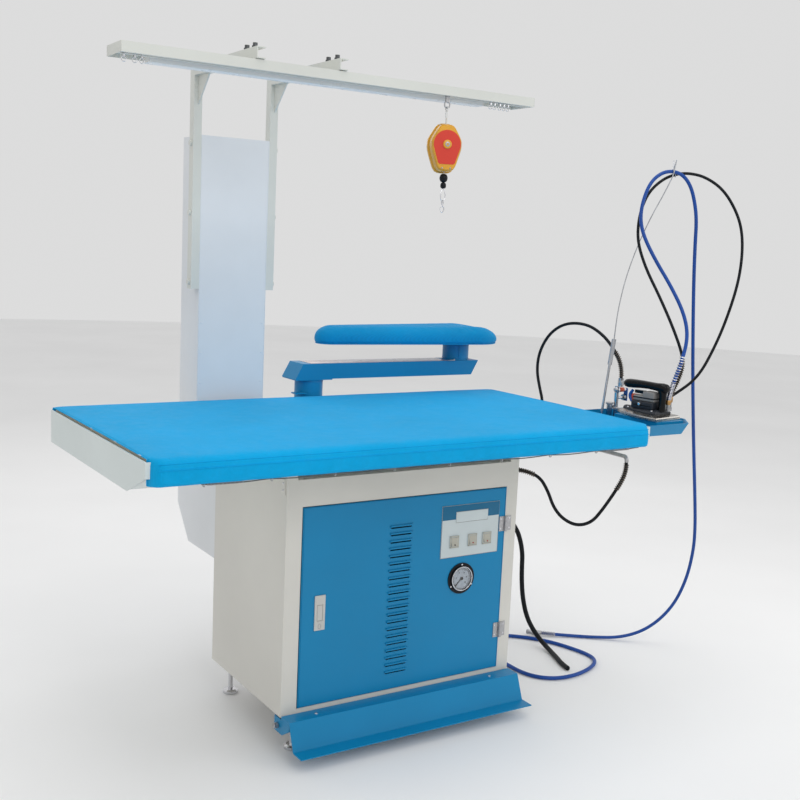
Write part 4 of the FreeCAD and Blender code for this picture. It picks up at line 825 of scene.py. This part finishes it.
def iron():
    """Sole, casting, steam chamber with its lever, fittings, and a grip on one rear post."""
    steps = ((1.5, 0), (0, 1.2), (0, 5.2), (1.6, 6), (1.6, 7.2), (0.4, 8), (1.5, 11), (12, 14.6), (15, 14.9),
             (24, 17.5))
    sole = Shape().loft([iron_outline(*step) for step in steps])
    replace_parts(sole.piece("sole_plate", "sole_steel", angle=28), "iron_sole")

    steps = ((22, 14.9), (21, 19), (22, 22.5, 0.98), (26, 26, 0.92), (32, 28.5, 0.84, 26))
    shroud = Shape().loft([iron_outline(*step) for step in steps])
    casting = shroud.piece("iron_shroud", "shroud", angle=34, slot="cast_iron")
    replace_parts(casting, "iron_body")

    def blocks(*rows):
        shape = Shape()
        for low, high, edge in rows:
            shape.slab(low, high, edge, IRON_TURN, IRON_AT)
        return shape

    blocks(((-27, 42, 26), (27, 122, 50), 4)).piece("steam_chamber", "shroud", slot="cast_iron")
    # tall behind the trigger, low under it
    blocks(((-20, 44, 50), (20, 86, 80), 3), ((-20, 80, 50), (20, 120, 66), 3)).piece(
        "chamber_cover", "grey", slot="cast_iron")
    blocks(((-27.6, 50, 36), (27.6, 112, 40), 1.2), ((-20.8, 43.6, 58), (20.8, 120.4, 62), 1.0)).piece(
        "chamber_bands", "black_plastic")
    hood = blocks(((-14, 118, 52), (14, 132, 66), 3))
    hood.lathe([(5.2, 0), (5.8, 2), (5.8, 22), (5.2, 24)], iron_point(-10, 124, 44), UP, 16)
    hood.piece("chamber_front", "orange", slot="cast_iron")
    curve = [iron_point(-12, 128 + 9 * sin(pi * step / 12), 44 + 34 * step / 12) for step in range(13)]
    Shape().tube(curve, [5.4 - 0.12 * abs(step - 6) for step in range(13)], 12).piece(
        "front_lever", "lever_blue", slot="lever_blue")
    screws = Shape()
    for x, y in ((-32, 40), (32, 44), (-22, 134), (22, 134)):
        screws.screw(iron_point(x, y, 25.4), UP, 3.6, 2.6)
    screws.lathe([(5, 0), (5, 6), (3.6, 7)], iron_point(-27, 88, 42), IRON_TURN @ Vector((-1, 0, 0)), 6)
    screws.piece("iron_screws", "chrome")
    inlets = Shape()
    for x, y, radius, height in ((22, 20, 6, 20), (38, 24, 5, 26)):
        inlets.lathe([(radius + 1.6, 0), (radius + 1.6, height * 0.4), (radius, height * 0.45),
                      (radius, height * 0.96)], iron_point(x, y, 25), UP, 6)
        inlets.lathe([(radius - 0.6, 0), (radius - 0.6, height)], iron_point(x, y, 25), UP, 20)
    inlets.piece("iron_inlets", "steel")

    spans = [(8, 6, 6, 94), (10, 12, 11, 94.5), (16, 15.6, 14, 95), (28, 17, 15, 95.6), (48, 15.4, 12.2, 97.2),
             (76, 14.6, 11.4, 98.6), (104, 15.6, 12.2, 98.6), (130, 17, 13.4, 97.4), (150, 17, 13.6, 96.6),
             (161, 14, 11.6, 96.2), (167, 9, 7.6, 96), (169, 4, 3.4, 96)]
    grip = Shape().loft([[iron_point(wide * copysign(abs(cos(a)) ** 0.86, cos(a)), y,
                                     z + tall * copysign(abs(sin(a)) ** 0.86, sin(a))) for a in turns(32)]
                         for y, wide, tall, z in spans])
    grip.loft([[iron_point(12.4 * flare * cos(a), 26 + lean + 11 * flare * sin(a), z) for a in turns(20)]
               for z, flare, lean in ((25.5, 1.1, 0), (30, 1.0, 0), (52, 0.92, 0), (68, 0.96, 0), (80, 1.12, 1),
                                      (88, 1.3, 3), (95, 1.3, 4))])
    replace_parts(grip.piece("grip_shell", "handle_black", angle=60), "iron_handle")
    heads("grip_screws", [iron_point(0, y, 108.4) for y in (44, 84, 118)], UP, 3.0, 1.4)


# ---------------------------------------------------------------- manifold and lever

def manifold_details():
    Shape().ring((804.4, -185, 897), (1, 0, 0), 8.4, 0.9, 28, 6).piece("knob_rim", "black_plastic")
    knob = Shape()
    for turn in turns(14):
        knob.slab((794.6, -185 + 8.7 * cos(turn) - 0.9, 897 + 8.7 * sin(turn) - 0.9),
                  (801.6, -185 + 8.7 * cos(turn) + 0.9, 897 + 8.7 * sin(turn) + 0.9), 0.4)
    knob.piece("knob_ribs", "black_plastic")
    pipe = Shape().lathe([(7.2, 0), (7.4, 3), (7.4, 19), (6.8, 20)], (774, -186, 922), (1, 0, 0), 20)
    pipe.piece("tee_sleeve", "orange", slot="brass")
    nuts = Shape().lathe([(9.4, 0), (10.2, 2), (10.2, 14), (9.4, 16)], (771, -197, 938), UP, 6)
    nuts.lathe([(8.8, 0), (9.4, 1.4), (9.4, 9), (8.8, 10)], (768, -185, 858), UP, 6)
    nuts.lathe([(11.6, 0), (12.4, 1), (12.4, 5), (11.6, 6)], (748, -177, 876), UP, 20)
    nuts.piece("manifold_nuts", "steel")
    Shape().lathe([(6.0, 0), (6.0, 3), (4, 5)], (807.9, -186, 922), (1, 0, 0), 6).piece(
        "lever_nut", "chrome", "valve_lever")


# ---------------------------------------------------------------- gauge, switches, door

GAUGE_X, DIAL_Y, GAUGE_Z = 130, -275.3, 412
FORWARD = (0, -1, 0)


def on_gauge(radius, degrees, y):
    """Point at a radius and an angle about the gauge's centre."""
    angle = radians(degrees)
    return Vector((GAUGE_X + radius * cos(angle), y, GAUGE_Z + radius * sin(angle)))


def gauge():
    """Dial with marks and numbers, glass and bezel; the needle is the CAD's own."""
    Shape().lathe([(32.4, 0), (32.4, 0.5)], (GAUGE_X, DIAL_Y + 0.5, GAUGE_Z), FORWARD, 64).piece(
        "dial_face", "dial", "door", slot="panel_label")
    marks = Shape()
    for step in range(51):
        degrees = 225 - 270 * (step / 50)
        low, wide = (26.0, 0.25) if step % 10 else (23.5, 0.55)
        marks.tube([on_gauge(reach, degrees, DIAL_Y - 0.35) for reach in (low, 29.2)], wide, 5)
    marks.ring((GAUGE_X, DIAL_Y - 0.3, GAUGE_Z), (0, 1, 0), 29.6, 0.28, 60, 5)
    marks.piece("dial_marks", "black_plastic", "door")
    for value in range(6):
        text = bpy.data.curves.new("dial_number_%d" % value, "FONT")
        text.body, text.size, text.extrude = str(value * 2), 0.0068, 0.00012
        text.align_x, text.align_y = "CENTER", "CENTER"
        text.materials.append(look("black_plastic"))
        item = add("dial_number_%d" % value, text)
        item.location = on_gauge(18.6, 225 - 270 * value / 5, DIAL_Y - 0.35) * MM
        item.rotation_euler = (pi / 2, 0, 0)
        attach(item, "door")
    Shape().lathe([(33.0, 0), (33.0, 1.0)], (GAUGE_X, -278.9, GAUGE_Z), FORWARD, 64).piece(
        "gauge_glass", "glass", "door", slot="panel_label")
    Shape().ring((GAUGE_X, -279.8, GAUGE_Z), (0, 1, 0), 34.4, 1.4, 64, 10).piece("gauge_bezel", "chrome", "door")
    heads("gauge_screws", [on_gauge(40.5, degrees, -275) for degrees in (90, 210, 330)], FORWARD, 2.9, 1.8, "door")


def door_details():
    band = Shape().slab((55, -274.6, 587), (253, -273.8, 627.4), 0.3)
    band.piece("panel_band", "teal", "door", slot="blue_paint")
    title = Shape().slab((101, -275.4, 577), (213, -274.4, 609), 0.3)
    rim = Shape()
    for x0, z0, x1, z1, y, wire in ((101.6, 577.6, 212.4, 608.4, -275.3, 0.55),
                                    (54.6, 477.6, 253.4, 627.4, -274.2, 0.6)):
        rim.tube([(x0, y, z0), (x1, y, z0), (x1, y, z1), (x0, y, z1)], wire, 6, True)
    rim.piece("panel_rims", "grey", "door", slot="panel_label")
    title.piece("panel_title_plate", "panel_label", "door")
    frames = Shape()
    for x in (98, 161, 212):
        for x0, z0, x1, z1 in ((-15.4, 505.6, 15.4, 508.6), (-15.4, 537.4, 15.4, 540.4), (-15.4, 506, -12.2, 540),
                               (12.2, 506, 15.4, 540)):
            frames.slab((x + x0, -277.6, z0), (x + x1, -276.6, z1), 0.4)
    frames.piece("switch_bezels", "switch_plastic", "door")
    # the rockers rest with their upper half out, so each mark sits on the lower half
    tilt = Matrix.Rotation(radians(-8), 3, "X")
    for name, x, finish, body in (("left", 98, "black_plastic", "rocker_left"),
                                  ("middle", 161, "dot_red", "rocker_middle"),
                                  ("right", 212, "dot_red", "rocker_right")):
        spot = Vector((x, -277, 523)) + tilt @ Vector((0, -2.25, -8.6))
        Shape().lathe([(2.2, 0), (2.2, 0.5), (1.6, 0.8)], spot, tilt @ Vector((0, -1, 0.19)), 20).piece(
            "rocker_dot_" + name, finish, body, slot="black_plastic")
    for name, x, y, body in (("hinge_screws_door", 262.5, -274, "door"),
                             ("hinge_screws_fixed", 294.5, -272, "machine")):
        heads(name, [(x, y, z) for z in (223, 251, 544, 572)], FORWARD, 2.8, 1.0, body)
    bead("door_edge", [(-379, -272.4, 124), (-379, -272.4, 663), (276, -272.4, 663), (276, -272.4, 124)], 0.9,
             "blue_paint", "door")
    oval = [(-325.5 + 4.2 * cos(a), -275.2, 340 + 6.5 * sin(a)) for a in turns(28)]
    bead("latch_keyhole", oval, 0.7, "steel", "door")


def pedal_details():
    heads("pedal_screws", [(x, -300, 110) for x in (-340, 232)], UP, 4.4, 2.6, "pedal")
    Shape().tube([(-428, -393.4, 39.6), (318, -393.4, 39.6)], 1.7, 8).piece("pedal_lip", "blue_paint", "pedal")
    bolts = Shape()
    for x, axis in ((-438, (-1, 0, 0)), (328, (1, 0, 0))):
        bolts.lathe([(6.4, 0), (7.2, 1), (7.2, 4), (6.2, 5)], (x, -258, 80), axis, 6)
    bolts.piece("pivot_bolts", "steel")


# ---------------------------------------------------------------- balancer

HANG_X, HANG_Y = 153, -52


def balancer():
    """Case, label, strap and the pulled part, all on one plumb line."""
    line = (HANG_X, HANG_Y, 0)
    spin = Matrix.Rotation(radians(-20), 3, "Z")
    facing = spin @ Vector(FORWARD)

    def out(x, y, z):
        """Point of the unturned case in its turned place."""
        return Vector(line) + spin @ Vector((x - HANG_X, y - HANG_Y, z))

    def plate(shrink, y):
        half = [(35, 141), (77, 141), (105.5, 95), (105.5, 66), (82.5, 0), (29.5, 0), (6.5, 66), (6.5, 95)]
        middle = Vector((56, 72))
        points = []
        for (x0, z0), (x1, z1) in zip(half, half[1:] + half[:1]):
            for step in range(5):
                spot = Vector((x0, z0)).lerp(Vector((x1, z1)), step / 5)
                away = spot - middle
                points.append(middle + away * (1 - shrink / away.length))
        smooth = points
        for _ in range(2):
            smooth = [(smooth[i - 1] + smooth[i] * 2 + smooth[(i + 1) % len(smooth)]) / 4
                      for i in range(len(smooth))]
        return [out(97 + p.x, y, 1556 + p.y) for p in smooth]

    case = Shape().loft([plate(1.5, -26.4), plate(0.2, -28), plate(0.2, -38), plate(2.4, -40.5), plate(4.4, -42),
                         plate(5, -68), plate(6.6, -73), plate(9.5, -76)])
    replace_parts(case.piece("balancer_case", "balancer_gold", "balancer", 30), "balancer_body")
    shield = [(153 + 40 * cos(a), 1636 + 40 * sin(a))
              for a in (radians(-10 + 200 * step / 30) for step in range(31))] + [(128, 1584), (133, 1580),
                                                                                     (173, 1580), (178, 1584)]
    Shape().loft([[out(x, -76.0, z) for x, z in shield], [out(x, -76.6, z) for x, z in shield]]).piece(
        "balancer_shield", "red", "balancer", slot="balancer_gold")
    Shape().lathe([(12.4, 0), (12.4, 3.0), (11.0, 4.0), (7, 4.0)], out(153, -76, 1636), facing, 32).piece(
        "balancer_boss", "balancer_gold", "balancer")
    Shape().lathe([(7, 0), (7, 1.6), (6, 2.2), (3.0, 2.2), (2.6, 0.6)], out(153, -78.6, 1636), facing,
                  24).piece("balancer_hub", "steel", "balancer")
    spots = ((137, -42, 1691), (169, -42, 1691), (141, -75.6, 1569), (165, -75.6, 1569))
    heads("balancer_screws", [out(*spot) for spot in spots], facing, 2.6, 1.6, "balancer", "steel")
    strap = Shape()
    for side in (-1, 1):
        strap.tube([out(HANG_X, HANG_Y + side * 2.2, 1692), out(HANG_X, HANG_Y + side * 3.6, 1704),
                    (HANG_X, HANG_Y + side * 4.6, 1718), (HANG_X, HANG_Y + side * 4.4, 1735)], 1.7, 8)
    strap.ring((HANG_X, HANG_Y, 1737.2), (1, 0, 0), 5.9, 1.7, 32, 8)
    strap.piece("balancer_strap", "tie", "balancer", slot="chrome")

    beads = Shape().lathe([(4, 1554), (8, 1552.5), (11, 1548), (12, 1542), (11, 1536), (8, 1531.5), (4, 1530)],
                          line, steps=28)
    beads.lathe([(3.4, 1530), (6.4, 1528), (8.3, 1524), (8.3, 1517), (6.4, 1513.4), (3.4, 1512.4)], line, steps=24)
    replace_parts(beads.piece("stop_beads", "black_plastic", "hook"), "balancer_hook")
    links = Shape()
    for side in (-1, 1):
        links.tube([(HANG_X + side * x, HANG_Y, z) for x, z in (
            (1.2, 1512), (5.6, 1506), (8.2, 1495), (7.2, 1484), (3.4, 1477.5), (0, 1476.4))], 1.3, 8)
    links.lathe([(2.2, 1479), (4.2, 1477), (4.2, 1470), (2.6, 1467), (2.0, 1462)], line, steps=18)
    links.tube([(HANG_X + 6.2 * sin(a), HANG_Y, 1453.6 + 8.6 * cos(a)) for a in turns(32)], 1.5, 8, True)
    links.piece("snap_hook", "chrome", "hook")
    # the cable is paid out between the case and the beads as the hook comes down
    run = [(1.5, 1553 + 24 * step / 32) for step in range(33)]
    cable = Shape().lathe(run, line, steps=12).piece("balancer_rope", "steel", None)
    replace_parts(cable, "balancer_cable")
    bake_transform(cable)


# ---------------------------------------------------------------- rail, column and cabinet

def rail_details():
    ends = Shape()
    for x in (-804.4, 456.4):
        ends.slab((x - 0.9, -70, 1771.8), (x + 0.9, 40, 1798), 0.4)
    ends.piece("rail_ends", "rail_paint")
    bolts = Shape()
    for x in (-442.5, -200.5):
        for y in (-35, 15):
            bolts.lathe([(8.4, 0), (9.2, 1), (9.2, 5), (8.4, 6)], (x, y, 1830), UP, 6)
            bolts.lathe([(6.3, 6), (6.3, 13.2), (5.4, 13.9), (2, 13.9)], (x, y, 1830), UP, 16)
    bolts.piece("arm_bolt_nuts", "bolt_dark", slot="steel")
    caps = Shape()
    for x0, x1 in ((-720.5, -716), (304, 308.5)):
        caps.slab((x0, -18.6, 1763.4), (x1, 22.6, 1795.9), 1.2)
    caps.piece("light_end_caps", "tie", slot="light_white")
    glow = Shape().slab((-712, -14, 1762.6), (300, 18, 1764.6), 0.8)
    glow.piece("light_lens", "light_white")
    seam = Shape()
    for x in (-428.6, -214.4):
        seam.tube([(x, 344.8, 800), (x, 344.8, 1632)], 0.8, 6)
    seam.piece("column_folds", "duct_paint")
    heads("column_rivets", [(x, 345, z) for x in (-420, -223) for z in range(820, 1180, 90)], FORWARD, 2.6, 1.0,
          finish="duct_paint")


def cabinet_details():
    plate = Shape().slab((-430.6, -262, 738.9), (-380, -240, 740.6), 0.4)
    plate.slab((-432.2, -262, 700), (-430.1, -240, 740.4), 0.4)
    plate.piece("corner_bracket", "cabinet_paint")
    heads("bracket_screws", [(-432.2, -251, z) for z in (712, 730)], (-1, 0, 0), 3.2, 1.8)
    bead("rear_panel_seam", [(-96, 188.4, 130), (296, 188.4, 130), (296, 188.4, 716), (-96, 188.4, 716)], 0.9,
             "cabinet_paint")
    heads("rear_panel_screws", [(x, 188, z) for x in (-80, 100, 280) for z in (146, 700)], (0, 1, 0), 3.6, 1.8)
    grille = Shape()
    for row in range(9):
        grille.slab((-60, 187.9, 560 + row * 13), (40, 189.2, 564 + row * 13), 0.5)
    grille.piece("rear_vent_slats", "cabinet_paint")
    nuts = Shape()
    for x in (-380, 270):
        for y in (-244, 162):
            nuts.lathe([(11.4, 0), (12.6, 1.4), (12.6, 8), (11.4, 9.4)], (x, y, 82), UP, 6)
    nuts.piece("foot_nuts", "steel")


# ---------------------------------------------------------------- build

repaint_frame()
camera_and_light()
hoses()
table_cover()
lacing()
sleeve_board()
iron()
manifold_details()
gauge()
door_details()
pedal_details()
balancer()
rail_details()
cabinet_details()
